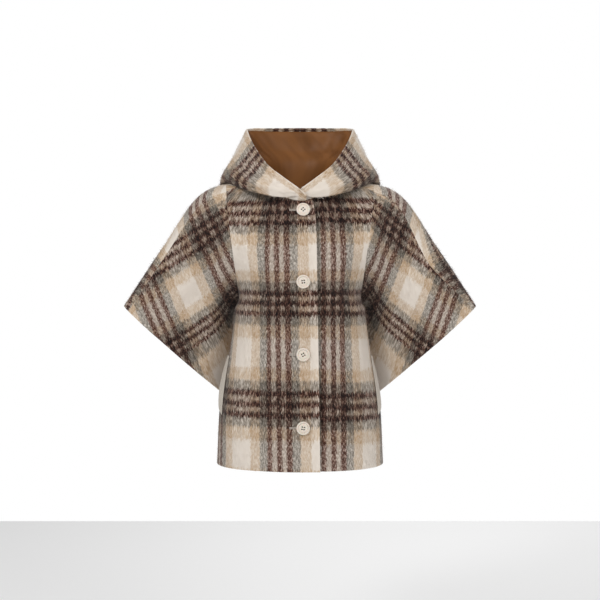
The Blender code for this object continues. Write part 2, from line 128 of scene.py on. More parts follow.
def smooth(stops, values, where):
    stops = np.asarray(stops, float)
    values = np.asarray(values, float)
    where = np.asarray(where, float)
    slopes = np.gradient(values, stops, axis=0)
    place = np.clip(np.searchsorted(stops, where, "right") - 1, 0, len(stops) - 2)
    width = (stops[place + 1] - stops[place])[..., None]
    t = (where - stops[place])[..., None] / width
    return (
        (2 * t**3 - 3 * t**2 + 1) * values[place]
        + (t**3 - 2 * t**2 + t) * width * slopes[place]
        + (3 * t**2 - 2 * t**3) * values[place + 1]
        + (t**3 - t**2) * width * slopes[place + 1]
    )


def table_at(table, where):
    rows = np.array(table, float)
    return smooth(rows[:, 0], rows[:, 1:], where)


def columns_at(table, where):
    return np.moveaxis(table_at(table, where), -1, 0)


def ease(t):
    t = np.clip(t, 0.0, 1.0)
    return t * t * (3 - 2 * t)


def unit(vectors):
    return vectors / np.maximum(np.linalg.norm(vectors, axis=-1, keepdims=True), TINY)


def neck(angle):
    turn = np.radians(angle)
    depth = np.where(angle < 90, NECK_FRONT, NECK_BACK)
    height = table_at(NECK_HEIGHT, angle)[..., 0]
    return np.stack((NECK_WIDTH * np.sin(turn), -depth * np.cos(turn), height), -1)


def sleeve_section(along, around):
    along, around = np.broadcast_arrays(np.asarray(along, float), np.asarray(around, float))
    row = Section(along, *columns_at(SLEEVE, along))
    reach = np.where(around > 0, row.front, row.back) / (FULL_SHARE * (1 + row.round))
    facing = np.where(around > 0, -1.0, 1.0)
    t = np.abs(around)
    share = 3 * t**2 * (1 - t) * FULL_ALONG + t**3
    out = 3 * t * (1 - t) ** 2 * row.round * reach + 3 * t**2 * (1 - t) * reach
    x = row.ridge_x + share * (row.under_x - row.ridge_x)
    y = row.ridge_y + share * (row.under_y - row.ridge_y) + facing * out
    z = row.ridge_z + share * (row.under_z - row.ridge_z)
    return np.stack((x, y, z), -1)


def seam_place(along, side):
    row = Section(along, *columns_at(SLEEVE, along))
    return row.seam_right if side < 0 else row.seam_left


def around_front(along, share, side):
    start = seam_place(along, side)
    return start + (1 - start) * share


def around_back(along, share, side):
    start = seam_place(along, side)
    over_ridge = start * (1 - share / RIDGE_SHARE)
    behind = -(share - RIDGE_SHARE) / (1 - RIDGE_SHARE)
    return np.where(share < RIDGE_SHARE, over_ridge, behind)


def body_side(down, side, around):
    share = np.minimum(down / UNDERARM, 1.0)
    armhole = sleeve_section(0.0, around(np.zeros_like(share), share, side))
    below = table_at(SIDE_SEAM, np.maximum(down, UNDERARM))
    return np.where((down < UNDERARM)[..., None], armhole, below)


def level_curve(centre, end, wide, across):
    depth = centre[..., 0] - SIDE_LINE
    share = np.clip((end[..., 1] - SIDE_LINE) / depth, OPEN_LEAST, OPEN_MOST)
    turn = np.arccos(share)
    reach = 4 / 3 * np.tan(turn / 4) * FULLNESS
    middle = np.stack((0 * wide, centre[..., 0], centre[..., 1]), -1)
    near = np.stack((reach * wide, centre[..., 0], centre[..., 1]), -1)
    far_x = end[..., 0] - reach * wide * np.cos(turn)
    far_y = end[..., 1] + depth * reach * np.sin(turn)
    far = np.stack((far_x, far_y, 0.5 * (centre[..., 1] + end[..., 2])), -1)
    t = np.abs(across)[..., None]
    point = (1 - t) ** 3 * middle + 3 * t * (1 - t) ** 2 * near + 3 * t**2 * (1 - t) * far + t**3 * end
    point[..., 0] *= np.where(across < 0, -1.0, 1.0)
    return point


def top_curve(neck_from, neck_to, shoulder_end, across, neck_share):
    around = neck(neck_from + (neck_to - neck_from) * np.minimum(across / neck_share, 1.0))
    corner = neck(np.asarray(neck_to))
    share = (np.maximum(across - neck_share, 0.0) / (1 - neck_share))[..., None]
    shoulder = corner + (shoulder_end - corner) * share
    return np.where((across <= neck_share)[..., None], around, shoulder)


def fade_from_top(down):
    return (1 - np.minimum(down / TOP_FADE, 1.0)) ** 2


def body_point(across, down, side, centre, around, neck_from, neck_share):
    across, down = np.broadcast_arrays(np.asarray(across, float), np.asarray(down, float))
    end = body_side(down, side, around)
    wide = table_at(BODY_WIDTH, down)[..., 0]
    point = level_curve(table_at(centre, down), end, wide, across)
    top_down = np.zeros_like(down)
    top_end = body_side(top_down, side, around)
    top = top_curve(neck_from, SHOULDER_ANGLE, top_end, across, neck_share)
    top_wide = table_at(BODY_WIDTH, top_down)[..., 0]
    plain = level_curve(table_at(centre, top_down), top_end, top_wide, across)
    return point + fade_from_top(down)[..., None] * (top - plain)


def front_point(across, down, side):
    return body_point(across, down, side, FRONT_CENTRE, around_front, 0.0, FRONT_NECK_SHARE)


def placed(points, lap):
    x = lap.side * points[..., 0]
    y = points[..., 1]
    if lap.lifted:
        shift = LAP_LIFT * np.where(x < 0, ease((LAP_END + x) / (LAP_END - LAP_FULL)), 1.0)
        y = y - np.where(y < 0, shift, 0.0)
    return np.stack((x, y, points[..., 2]), -1)


def edged(length):
    steps = max(int(round(length / CLOTH_STEP)), FEWEST_STEPS)
    near = np.array(EDGE_STOPS) / length
    clear = EDGE_CLEAR * near[-1]
    middle = np.linspace(0, 1, steps + 1)[1:-1]
    middle = middle[(middle > clear) & (middle < 1 - clear)]
    return np.concatenate(((0,), near, middle, 1 - near[::-1], (1,)))


def run_lengths(grid, axis):
    steps = np.linalg.norm(np.diff(grid, axis=axis), axis=2)
    start = np.zeros_like(np.take(steps, [0], axis=axis))
    return np.cumsum(np.concatenate((start, steps), axis=axis), axis=axis)


def grid_normals(grid, outside):
    normals = unit(np.cross(np.gradient(grid, axis=0), np.gradient(grid, axis=1)))
    rows, columns = normals.shape[:2]
    facing = np.dot(normals[rows // 2, columns // 2], outside)
    return normals if facing > 0 else -normals


def border_distance(grid):
    down = run_lengths(grid, 0)
    across = run_lengths(grid, 1)
    nearest = np.minimum(down, down[-1:] - down)
    return np.minimum(nearest, np.minimum(across, across[:, -1:] - across))


# Every crease is a soft trough, or a ridge where its depth is below zero, laid on the cloth as it is seen
# from the front or the back. It has a middle, a length, a width and a lean from upright in degrees.
Crease = namedtuple("Crease", "x z length width depth lean")


def creased(grid, normals, creases):
    height = np.zeros(grid.shape[:2])
    for crease in creases:
        lean = math.radians(crease.lean)
        x = grid[..., 0] - crease.x
        z = grid[..., 2] - crease.z
        along = x * math.sin(lean) - z * math.cos(lean)
        across = x * math.cos(lean) + z * math.sin(lean)
        shape = np.exp(-((across / crease.width) ** 2) - (2 * along / crease.length) ** 2)
        height -= crease.depth * shape
    return grid + normals * height[..., None]


def cloth_mesh(name, points, faces, plaid_places, finish):
    mesh = bpy.data.meshes.new(name)
    count, corners = faces.shape
    mesh.vertices.add(len(points))
    mesh.vertices.foreach_set("co", np.ascontiguousarray(points, np.float32).ravel())
    mesh.loops.add(count * corners)
    mesh.loops.foreach_set("vertex_index", np.ascontiguousarray(faces, np.int32).ravel())
    mesh.polygons.add(count)
    mesh.polygons.foreach_set("loop_start", np.arange(0, count * corners, corners, dtype=np.int32))
    mesh.polygons.foreach_set("use_smooth", np.ones(count, bool))
    layer = mesh.uv_layers.new(name="cloth")
    layer.data.foreach_set("uv", np.ascontiguousarray(plaid_places[faces.ravel()], np.float32).ravel())
    mesh.update(calc_edges=True)
    mesh.validate()
    mesh.materials.append(finish)
    made = bpy.data.objects.new(name, mesh)
    scene.collection.objects.link(made)
    return made


def grid_faces(rows, columns):
    index = np.arange(rows * columns).reshape(rows, columns)
    corners = (index[:-1, :-1], index[1:, :-1], index[1:, 1:], index[:-1, 1:])
    return np.stack(corners, -1).reshape(-1, 4)


def border_loop(rows, columns):
    index = np.arange(rows * columns).reshape(rows, columns)
    return np.concatenate((index[0, :], index[1:, -1], index[-1, -2::-1], index[-2:0:-1, 0]))


# A panel is a closed shell. It has a right side, a wrong side one cloth thickness in, and a rounded edge.
def shell(name, grid, outside, places, thickness, finish, creases=()):
    normals = grid_normals(grid, outside)
    grid = creased(grid, normals, creases)
    normals = grid_normals(grid, outside)
    near = np.clip(border_distance(grid) / EDGE_STOPS[-1], 0.0, 1.0)
    rounding = EDGE_ROUND * (1 - np.sqrt(1 - (1 - near) ** 2))
    outer = grid - normals * rounding[..., None]
    inner = grid - normals * (thickness - rounding)[..., None]
    rows, columns = grid.shape[:2]
    count = rows * columns
    faces = grid_faces(rows, columns)
    turned = np.dot(np.cross(grid[1, 0] - grid[0, 0], grid[0, 1] - grid[0, 0]), normals[0, 0]) < 0
    if turned:
        faces = faces[:, ::-1]
    loop = border_loop(rows, columns)
    after = np.roll(loop, -1)
    wall = np.stack((loop, after, after + count, loop + count), 1)
    if turned:
        wall = wall[:, ::-1]
    points = np.concatenate((outer.reshape(-1, 3), inner.reshape(-1, 3)))
    all_faces = np.concatenate((faces, faces[:, ::-1] + count, wall))
    flat = np.concatenate((places.reshape(-1, 2), places.reshape(-1, 2)))
    made = cloth_mesh(name, points, all_faces, flat, finish)
    return made, outer, normals


def drawn_in(grid):
    grid = grid.copy()
    for first, second in ((0, 1), (-1, -2)):
        grid[first] += SEAM_GAP * unit(grid[second] - grid[first])
        grid[:, first] += SEAM_GAP * unit(grid[:, second] - grid[:, first])
    return grid


# The plaid is a blanket check in four dyes on cream. Each band is given its width across the cloth and down
# it, in millimetres. Where bands cross, the dyes add up, and the brushed nap drags every edge into streaks.
Band = namedtuple("Band", "dye across down")
PLAID = (
    Band("cream", 49.0, 64.0),
    Band("tan", 22.5, 27.0),
    Band("grey", 17.5, 20.5),
    Band("dark", 11.0, 13.5),
    Band("gap", 11.0, 10.2),
    Band("dark", 12.0, 13.5),
    Band("gap", 10.0, 10.2),
    Band("dark", 13.0, 13.5),
    Band("grey", 17.5, 19.5),
    Band("tan", 23.5, 29.0),
)
Dye = namedtuple("Dye", "across down")
DYES = {
    "cream": Dye((1.0, 1.0, 1.0), (1.0, 1.0, 1.0)),
    "tan": Dye((0.84, 0.765, 0.68), (0.85, 0.775, 0.685)),
    "grey": Dye((0.47, 0.465, 0.455), (0.48, 0.46, 0.435)),
    "gap": Dye((0.63, 0.59, 0.565), (0.50, 0.435, 0.39)),
    "dark": Dye((0.225, 0.140, 0.120), (0.105, 0.048, 0.037)),
}
CREAM = (0.72, 0.65, 0.575, 1.0)
BAND_BLUR = 0.0010
DARK_ACROSS = 0.117
DARK_DOWN = 0.142
CREAM_ACROSS = 0.0245
CREAM_DOWN = 0.032


def node(tree, kind, **values):
    made = tree.nodes.new(kind)
    for key, value in values.items():
        setattr(made, key, value)
    return made


def joined(tree, source, target):
    tree.links.new(source, target)


def number(tree, operation, first, second):
    made = node(tree, "ShaderNodeMath", operation=operation)
    for socket, value in zip(made.inputs, (first, second)):
        if isinstance(value, (int, float)):
            socket.default_value = value
        else:
            joined(tree, value, socket)
    return made.outputs[0]


Streak = namedtuple("Streak", "name across down seed detail")


def streaks(tree, places, streak):
    scaled = node(tree, "ShaderNodeVectorMath", operation="MULTIPLY_ADD")
    joined(tree, places, scaled.inputs[0])
    scaled.inputs[1].default_value = (streak.across, streak.down, 0.0)
    scaled.inputs[2].default_value = (streak.seed, 2 * streak.seed, 3 * streak.seed)
    noise = node(tree, "ShaderNodeTexNoise", noise_dimensions="3D")
    noise.inputs["Scale"].default_value = 1.0
    noise.inputs["Detail"].default_value = streak.detail
    noise.inputs["Roughness"].default_value = 0.6
    joined(tree, scaled.outputs[0], noise.inputs["Vector"])
    return noise.outputs[0]


# Brushed nap: fibres combed down the cloth, as long narrow streaks that shift, fleck and raise the surface.
NAP_STREAKS = (
    Streak("Drag down", 480.0, 70.0, 1.7, 2.0),
    Streak("Drag across", 300.0, 120.0, 5.3, 2.0),
    Streak("Fleck down", 360.0, 110.0, 9.1, 2.0),
    Streak("Fleck across", 380.0, 150.0, 17.3, 2.0),
    Streak("Raised", 900.0, 260.0, 13.9, 3.0),
)
brushed_nap = bpy.data.node_groups.new("brushed_nap", "ShaderNodeTree")
brushed_nap.interface.new_socket("Cloth place", in_out="INPUT", socket_type="NodeSocketVector")
for streak in NAP_STREAKS:
    brushed_nap.interface.new_socket(streak.name, in_out="OUTPUT", socket_type="NodeSocketFloat")
nap_in = node(brushed_nap, "NodeGroupInput")
nap_out = node(brushed_nap, "NodeGroupOutput")
for streak in NAP_STREAKS:
    made = streaks(brushed_nap, nap_in.outputs["Cloth place"], streak)
    joined(brushed_nap, made, nap_out.inputs[streak.name])


def band_ramp(tree, place, direction):
    widths = [getattr(band, direction) / 1000 for band in PLAID]
    repeat = sum(widths)
    wrapped = number(tree, "FRACT", number(tree, "DIVIDE", place, repeat), 0.0)
    made = node(tree, "ShaderNodeValToRGB")
    joined(tree, wrapped, made.inputs[0])
    ramp = made.color_ramp
    while len(ramp.elements) > 1:
        ramp.elements.remove(ramp.elements[-1])
    start = 0.0
    for order, (band, width) in enumerate(zip(PLAID, widths)):
        colour = (*getattr(DYES[band.dye], direction), 1.0)
        for stop in (start + BAND_BLUR, start + width - BAND_BLUR):
            if order == 0 and stop < width / 2:
                element = ramp.elements[0]
                element.position = stop / repeat
            else:
                element = ramp.elements.new(stop / repeat)
            element.color = colour
        start += width
    return made.outputs[0]


def wool_finish(name):
    finish = bpy.data.materials.new(name)
    finish.use_nodes = True
    tree = finish.node_tree
    shader = tree.nodes["Principled BSDF"]
    shader.inputs["Roughness"].default_value = 0.92
    shader.inputs["Specular IOR Level"].default_value = 0.15
    shader.inputs["Sheen Weight"].default_value = 0.12
    shader.inputs["Sheen Roughness"].default_value = 0.6
    places = node(tree, "ShaderNodeUVMap", uv_map="cloth")
    nap = node(tree, "ShaderNodeGroup", node_tree=brushed_nap)
    joined(tree, places.outputs[0], nap.inputs["Cloth place"])
    bump = node(tree, "ShaderNodeBump")
    bump.inputs["Strength"].default_value = 0.30
    bump.inputs["Distance"].default_value = 0.0006
    joined(tree, nap.outputs["Raised"], bump.inputs["Height"])
    joined(tree, bump.outputs[0], shader.inputs["Normal"])
    return finish, tree, shader, places, nap


FLECK_FROM = 0.38
FLECK_TO = 0.62
FLECK_LEAST = 0.35
FLECK_MOST = 1.75


def flecked(tree, dye, noise):
    strength = node(tree, "ShaderNodeMapRange")
    strength.inputs["From Min"].default_value = FLECK_FROM
    strength.inputs["From Max"].default_value = FLECK_TO
    strength.inputs["To Min"].default_value = FLECK_LEAST
    strength.inputs["To Max"].default_value = FLECK_MOST
    joined(tree, noise, strength.inputs["Value"])
    made = node(tree, "ShaderNodeVectorMath", operation="POWER")
    joined(tree, dye, made.inputs[0])
    joined(tree, strength.outputs[0], made.inputs[1])
    return made.outputs[0]


def dragged(tree, place, noise, reach):
    either_way = number(tree, "SUBTRACT", noise, 0.5)
    return number(tree, "ADD", place, number(tree, "MULTIPLY", either_way, reach))


def plaid_finish(name, drag_across, drag_down):
    finish, tree, shader, places, nap = wool_finish(name)
    split = node(tree, "ShaderNodeSeparateXYZ")
    joined(tree, places.outputs[0], split.inputs[0])
    across = dragged(tree, split.outputs[0], nap.outputs["Drag across"], drag_across)
    down = dragged(tree, split.outputs[1], nap.outputs["Drag down"], drag_down)
    warp = flecked(tree, band_ramp(tree, across, "across"), nap.outputs["Fleck across"])
    weft = flecked(tree, band_ramp(tree, down, "down"), nap.outputs["Fleck down"])
    crossing = node(tree, "ShaderNodeVectorMath", operation="MULTIPLY")
    joined(tree, warp, crossing.inputs[0])
    joined(tree, weft, crossing.inputs[1])
    dyed = node(tree, "ShaderNodeMix", data_type="RGBA", blend_type="MULTIPLY")
    dyed.inputs["Factor"].default_value = 1.0
    dyed.inputs[6].default_value = CREAM
    joined(tree, crossing.outputs[0], dyed.inputs[7])
    joined(tree, dyed.outputs[2], shader.inputs["Base Color"])
    return finish


plaid_wool = plaid_finish("plaid_wool_brushed", drag_across=0.011, drag_down=0.029)


# The nap itself: short fine fibres that grow out of the right side, combed down the cloth, in its own dyes.
NAP_SPACING = 0.0026
FIBRE_LENGTH = (0.005, 0.012)
FIBRE_OVERHANG = 0.0022
FIBRE_ROOM = 0.5
FIBRE_WIDTH = 0.00034
FIBRE_ROOT = 0.0003
FIBRE_BEND = 0.55
FIBRE_TAPER = 0.8
FIBRE_DROOP = 0.8
FIBRE_LIFT = (0.10, 0.42)
FIBRE_SWAY = 0.30
FLYAWAY_SHARE = 0.05
FLYAWAY_LIFT = 0.6
FIBRE_FACES = ((0, 3, 1), (0, 2, 3), (2, 4, 3))
FIBRE_SPOTS = ((0, 0), (0, 1), (1, 0), (1, 1), (2, 0))
FIBRE_MAP = 1 / 900
MAP_SHARE = 0.99


def cell_sides(grid):
    return grid[1:, :-1] - grid[:-1, :-1], grid[:-1, 1:] - grid[:-1, :-1]


def cell_areas(grid):
    return np.linalg.norm(np.cross(*cell_sides(grid)), axis=2)


def napped(name, outer, normals, places, finish, seed):
    random = np.random.default_rng(seed)
    rows, columns = outer.shape[:2]
    along_rows, along_columns = cell_sides(outer)
    areas = cell_areas(outer).ravel()
    count = int(areas.sum() / NAP_SPACING**2)
    cell = np.searchsorted(np.cumsum(areas) / areas.sum(), random.random(count))
    cell = np.minimum(cell, len(areas) - 1)
    row, column = cell // (columns - 1), cell % (columns - 1)
    s, t = random.random((2, count, 1))

    def between(values):
        return (
            values[row, column] * (1 - s) * (1 - t)
            + values[row + 1, column] * s * (1 - t)
            + values[row + 1, column + 1] * s * t
            + values[row, column + 1] * (1 - s) * t
        )

    root = between(outer)
    normal = unit(between(normals))
    place = between(places)
    down_rows = places[row + 1, column] - places[row, column]
    down_columns = places[row, column + 1] - places[row, column]
    turn = down_rows[:, 0] * down_columns[:, 1] - down_columns[:, 0] * down_rows[:, 1]
    turn = np.where(np.abs(turn) < TINY, TINY, turn)
    combed = unit(
        along_rows[row, column] * (-down_columns[:, 0] / turn)[:, None]
        + along_columns[row, column] * (down_rows[:, 0] / turn)[:, None]
    )
    heading = unit(combed + np.cross(normal, combed) * random.normal(0.0, FIBRE_SWAY, (count, 1)))
    sideways = np.cross(normal, heading)
    room = between(border_distance(outer)[..., None])
    length = np.minimum(random.uniform(*FIBRE_LENGTH, (count, 1)), FIBRE_OVERHANG + FIBRE_ROOM * room)
    lift = random.uniform(*FIBRE_LIFT, (count, 1)) * random.random((count, 1))
    lift += np.where(random.random((count, 1)) < FLYAWAY_SHARE, FLYAWAY_LIFT, 0.0)
    half = 0.5 * FIBRE_WIDTH * sideways
    bottom = root - normal * FIBRE_ROOT
    middle = root + (heading + normal * lift) * FIBRE_BEND * length
    tip = root + (heading + normal * lift * FIBRE_DROOP) * length
    narrow = FIBRE_TAPER * half
    points = np.stack((bottom - half, bottom + half, middle - narrow, middle + narrow, tip), 1)
    corners = points.shape[1]
    faces = (corners * np.arange(count)[:, None, None] + np.array(FIBRE_FACES)).reshape(-1, 3)
    made = cloth_mesh(name, points.reshape(-1, 3), faces, np.repeat(place, corners, axis=0), finish)
    made.data.normals_split_custom_set_from_vertices(np.repeat(normal, corners, axis=0).astype(np.float32))
    share = np.stack(((row[:, None] + s) / rows, (column[:, None] + t) / columns), -1)
    spots = np.clip(share * MAP_SHARE + np.array(FIBRE_SPOTS) * FIBRE_MAP, 0, 1).reshape(-1, 2)
    layer = made.data.uv_layers.new(name="OFBake")
    layer.data.foreach_set("uv", spots[faces.ravel()].astype(np.float32).ravel())
    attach(made, "root")
    return made


def cut_size(grid):
    length = float(run_lengths(grid, 0)[-1].max())
    width = float(run_lengths(grid, 1)[:, -1].max())
    area = float(cell_areas(grid).sum())
    return (width, length), min(area, width * length)


def takes_place(made, node_name):
    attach(made, "root")
    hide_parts(node_name)


def wool_panel(node_name, grid, outside, places, creases, seed, finish=plaid_wool):
    grid = drawn_in(grid)
    made, outer, normals = shell(node_name + "_cloth", grid, outside, places, WOOL, finish, creases)
    takes_place(made, node_name)
    fibres = napped(node_name + "_nap", outer, normals, places, finish, seed)


# Where the bands of the plaid lie on the body, from the hem to the shoulder.
Bands = namedtuple("Bands", "z down")
PLAID_DOWN = (
    Bands(-0.640, 0.3923),
    Bands(-0.469, 0.2213),
    Bands(-0.2477, 0.0000),
    Bands(-0.051, -0.2213),
    Bands(0.060, -0.3400),
)
FrontPlaid = namedtuple("FrontPlaid", "dark_x lean tilt raised drawn")
RIGHT_PLAID = FrontPlaid(-0.0461, -0.013, 0.010, 0.000, 0.000)
LEFT_PLAID = FrontPlaid(0.0735, 0.000, 0.030, 0.010, 0.032)
LEAN_FROM = -0.60
FRONT_LENGTH = 0.66
FRONT_WIDTH = 0.26
LAP_TRIED = 0.6
LAP_TRIALS = 121


def lap_across(reach, down, side):
    trial = np.linspace(0, LAP_TRIED, LAP_TRIALS)
    across = []
    for level, wanted in zip(down, reach):
        widths = -front_point(-trial, np.full_like(trial, level), side)[:, 0]
        across.append(-np.interp(wanted, widths, trial))
    return np.array(across)


def front_grid(lap):
    down = edged(FRONT_LENGTH)
    reach = lap.top + (lap.hem - lap.top) * down
    edge = lap_across(reach, down, lap.side)[:, None]
    hood_end = lap.neck_angle / SHOULDER_ANGLE * FRONT_NECK_SHARE
    overlap = edged(lap.top)[:-EDGE_COUNT]
    beyond = edged(FRONT_WIDTH)[EDGE_COUNT:]
    into = np.concatenate((overlap, np.ones(len(beyond) + 1)))
    past = np.concatenate((np.zeros(len(overlap) + 1), beyond))
    across = edge + (hood_end - edge) * into + (1 - hood_end) * past
    drop = CORNER_DOWN * fade_from_top(down)[:, None] * (1 - into) ** CORNER_CLOSING
    return placed(front_point(across, down[:, None] + drop, lap.side), lap)


def run_from_middle(grid):
    run = run_lengths(grid, 1)
    middle = np.argmin(np.abs(grid[..., 0]), axis=1)
    return run - run[np.arange(len(run)), middle][:, None]


def front_places(grid, lap, plaid):
    aside = run_from_middle(grid)
    lean = plaid.lean * (grid[..., 2] - LEAN_FROM)
    across = lap.side * aside - plaid.dark_x - lean + DARK_ACROSS
    level = (1.0 - plaid.drawn) * grid[..., 2] - plaid.raised + plaid.tilt * aside
    down = table_at(PLAID_DOWN, level)[..., 0] + DARK_DOWN
    return np.stack((across, down), -1)


RIGHT_CREASES = (
    Crease(-0.125, -0.140, 0.20, 0.018, 0.0030, 8),
    Crease(-0.098, -0.330, 0.26, 0.024, 0.0022, -4),
    Crease(-0.052, -0.520, 0.24, 0.022, 0.0018, 3),
    Crease(-0.140, -0.500, 0.22, 0.020, -0.0024, -6),
    Crease(-0.030, -0.110, 0.10, 0.016, -0.0012, 30),
    Crease(0.038, -0.330, 1.60, 0.007, -0.0030, 1),
)
LEFT_CREASES = (
    Crease(0.128, -0.150, 0.18, 0.018, 0.0032, -8),
    Crease(0.086, -0.360, 0.28, 0.024, 0.0024, 5),
    Crease(0.120, -0.520, 0.22, 0.022, -0.0026, 5),
    Crease(0.066, -0.560, 0.16, 0.018, 0.0016, -3),
    Crease(0.042, -0.330, 1.60, 0.005, 0.0050, 1),
)

front_right = front_grid(RIGHT)
front_left = front_grid(LEFT)
wool_panel(
    "front_right",
    front_right,
    (0, -1, 0),
    front_places(front_right, RIGHT, RIGHT_PLAID),
    RIGHT_CREASES,
    seed=11,
)
wool_panel(
    "front_left",
    front_left,
    (0, -1, 0),
    front_places(front_left, LEFT, LEFT_PLAID),
    LEFT_CREASES,
    seed=12,
)

# The back is one panel of the same wool, cut on the fold with a pale square down its middle.
# It hangs from the shoulder seams behind the neck and is sewn to the sleeves and the fronts at its sides.
BACK_CENTRE = (
    Level(0.00, 0.075, 0.050),
    Level(0.10, 0.085, 0.028),
    Level(0.20, 0.099, -0.040),
    Level(0.31, 0.108, -0.140),
    Level(0.42, 0.107, -0.262),
    Level(0.60, 0.108, -0.365),
    Level(0.80, 0.117, -0.485),
    Level(1.00, 0.124, -0.622),
)
BACK_NECK_SHARE = 7 / 11
BACK_LENGTH = 0.70
BACK_WIDTH = 0.26
BACK_CREASES = (
    Crease(-0.095, -0.300, 0.34, 0.026, 0.0036, 4),
    Crease(0.088, -0.340, 0.38, 0.024, 0.0040, -3),
    Crease(-0.030, -0.480, 0.28, 0.028, 0.0024, -2),
    Crease(0.036, -0.520, 0.22, 0.024, -0.0026, 3),
    Crease(0.130, -0.180, 0.20, 0.018, 0.0034, 12),
    Crease(-0.126, -0.170, 0.18, 0.018, 0.0030, -14),
)


def back_point(across, down, side):
    return body_point(across, down, side, BACK_CENTRE, around_back, 180.0, BACK_NECK_SHARE)


def back_grid():
    down = edged(BACK_LENGTH)[:, None]
    across = edged(BACK_WIDTH)[EDGE_COUNT:]
    right = placed(back_point(across[None, ::-1], down, RIGHT.side), RIGHT)
    left = placed(back_point(np.concatenate(((0,), across))[None, :], down, LEFT.side), LEFT)
    return np.concatenate((right, left), axis=1)


def back_places(grid):
    down = table_at(PLAID_DOWN, grid[..., 2])[..., 0] + DARK_DOWN
    return np.stack((run_from_middle(grid) + CREAM_ACROSS, down), -1)


back = back_grid()
wool_panel("back", back, (0, 1, 0), back_places(back), BACK_CREASES, seed=13)

# The cape sleeves are wide and square, each cut in a front and a back half with the plaid on the slant.
# The halves meet at an overarm seam that runs a little in front of the ridge, and at an underarm seam.
SLEEVE_LENGTH = 0.36
SLEEVE_WIDTH = 0.34
SleevePlaid = namedtuple("SleevePlaid", "x z search across down fall lean wide long eased")
RIGHT_SLEEVE_PLAID = SleevePlaid(0.2450, -0.2273, 1.00, CREAM_ACROSS, CREAM_DOWN, 30, 22, 1.08, 1.18, 0)
LEFT_SLEEVE_PLAID = SleevePlaid(0.2480, -0.2293, 1.00, CREAM_ACROSS, CREAM_DOWN, 37, 19, 1.10, 1.20, 0)
RIGHT_BACK_PLAID = SleevePlaid(0.3720, -0.2280, 0.25, 0.158, 0.120, 37, 28, 1.10, 1.20, 1)
LEFT_BACK_PLAID = SleevePlaid(0.3720, -0.2280, 0.25, 0.158, 0.120, 37, 20, 1.10, 1.20, 1)
DRAWN_FROM = 0.175
DRAWN_OUT = 0.45


def sleeve_grid(lap, around):
    along = edged(SLEEVE_LENGTH)[:, None]
    share = edged(SLEEVE_WIDTH)[None, :]
    return placed(sleeve_section(along, around(along, share, lap.side)), lap)


def sleeve_places(grid, lap, plaid):
    x = lap.side * grid[..., 0]
    z = grid[..., 2]
    run = run_lengths(grid, 1)
    heading = np.stack((x[:, -1] - x[:, 0], z[:, -1] - z[:, 0]), -1)
    chord = np.linalg.norm(heading, axis=1, keepdims=True)
    heading = heading / chord
    share = run / run[:, -1:]
    eased_run = share * (chord + (run[:, -1:] - chord) * (1.0 - share))
    run = run + plaid.eased * (eased_run - run)
    flat_x = x[:, :1] + heading[:, :1] * run
    flat_z = z[:, :1] + heading[:, 1:] * run
    searched = np.arange(x.shape[1]) <= plaid.search * x.shape[1]
    nearest = np.argmin((x - plaid.x) ** 2 + (z - plaid.z) ** 2 + np.where(searched, 0, 1))
    flat_x = flat_x - flat_x.ravel()[nearest]
    flat_z = flat_z - flat_z.ravel()[nearest]
    fall, lean = math.radians(plaid.fall), math.radians(plaid.lean)
    weft = np.array((math.cos(fall), -math.sin(fall)))
    warp_way = np.array((-math.sin(lean), -math.cos(lean)))
    solve = np.linalg.inv(np.stack((weft, warp_way), 1))
    across_cloth = solve[0, 0] * flat_x + solve[0, 1] * flat_z
    down_cloth = solve[1, 0] * flat_x + solve[1, 1] * flat_z
    across = plaid.wide * across_cloth + plaid.across
    down = plaid.long * down_cloth + plaid.down
    down = down - DRAWN_OUT * np.maximum(down - DRAWN_FROM, 0.0)
    return np.stack((across, down), -1)


SleeveHalf = namedtuple("SleeveHalf", "node lap around outside plaid creases seed")
SLEEVE_HALVES = (
    SleeveHalf(
        "sleeve_right_front",
        RIGHT,
        around_front,
        (0, -1, 0),
        RIGHT_SLEEVE_PLAID,
        (
            Crease(-0.182, -0.110, 0.22, 0.020, 0.0050, -14),
            Crease(-0.165, -0.240, 0.22, 0.018, 0.0046, -10),
            Crease(-0.232, -0.150, 0.24, 0.026, -0.0040, -26),
            Crease(-0.270, -0.290, 0.22, 0.024, 0.0036, -34),
            Crease(-0.205, -0.370, 0.20, 0.022, -0.0036, -18),
        ),
        21,
    ),
    SleeveHalf(
        "sleeve_right_back",
        RIGHT,
        around_back,
        (0, 1, 0),
        RIGHT_BACK_PLAID,
        (
            Crease(-0.210, -0.180, 0.26, 0.022, 0.0050, -20),
            Crease(-0.250, -0.290, 0.24, 0.026, -0.0040, -32),
            Crease(-0.185, -0.330, 0.22, 0.020, 0.0042, -12),
        ),
        22,
    ),
    SleeveHalf(
        "sleeve_left_front",
        LEFT,
        around_front,
        (0, -1, 0),
        LEFT_SLEEVE_PLAID,
        (
            Crease(0.186, -0.120, 0.22, 0.020, 0.0052, 12),
            Crease(0.168, -0.250, 0.20, 0.018, 0.0044, 10),
            Crease(0.226, -0.100, 0.16, 0.020, 0.0046, 30),
            Crease(0.262, -0.230, 0.26, 0.028, -0.0038, 28),
            Crease(0.240, -0.360, 0.20, 0.022, 0.0034, 22),
        ),
        23,
    ),
    SleeveHalf(
        "sleeve_left_back",
        LEFT,
        around_back,
        (0, 1, 0),
        LEFT_BACK_PLAID,
        (
            Crease(0.214, -0.190, 0.28, 0.022, 0.0048, 22),
            Crease(0.262, -0.280, 0.22, 0.026, -0.0042, 34),
            Crease(0.180, -0.320, 0.24, 0.020, 0.0044, 10),
        ),
        24,
    ),
)

for half in SLEEVE_HALVES:
    grid = sleeve_grid(half.lap, half.around)
    places = sleeve_places(grid, half.lap, half.plaid)
    wool_panel(half.node, grid, half.outside, places, half.creases, half.seed)

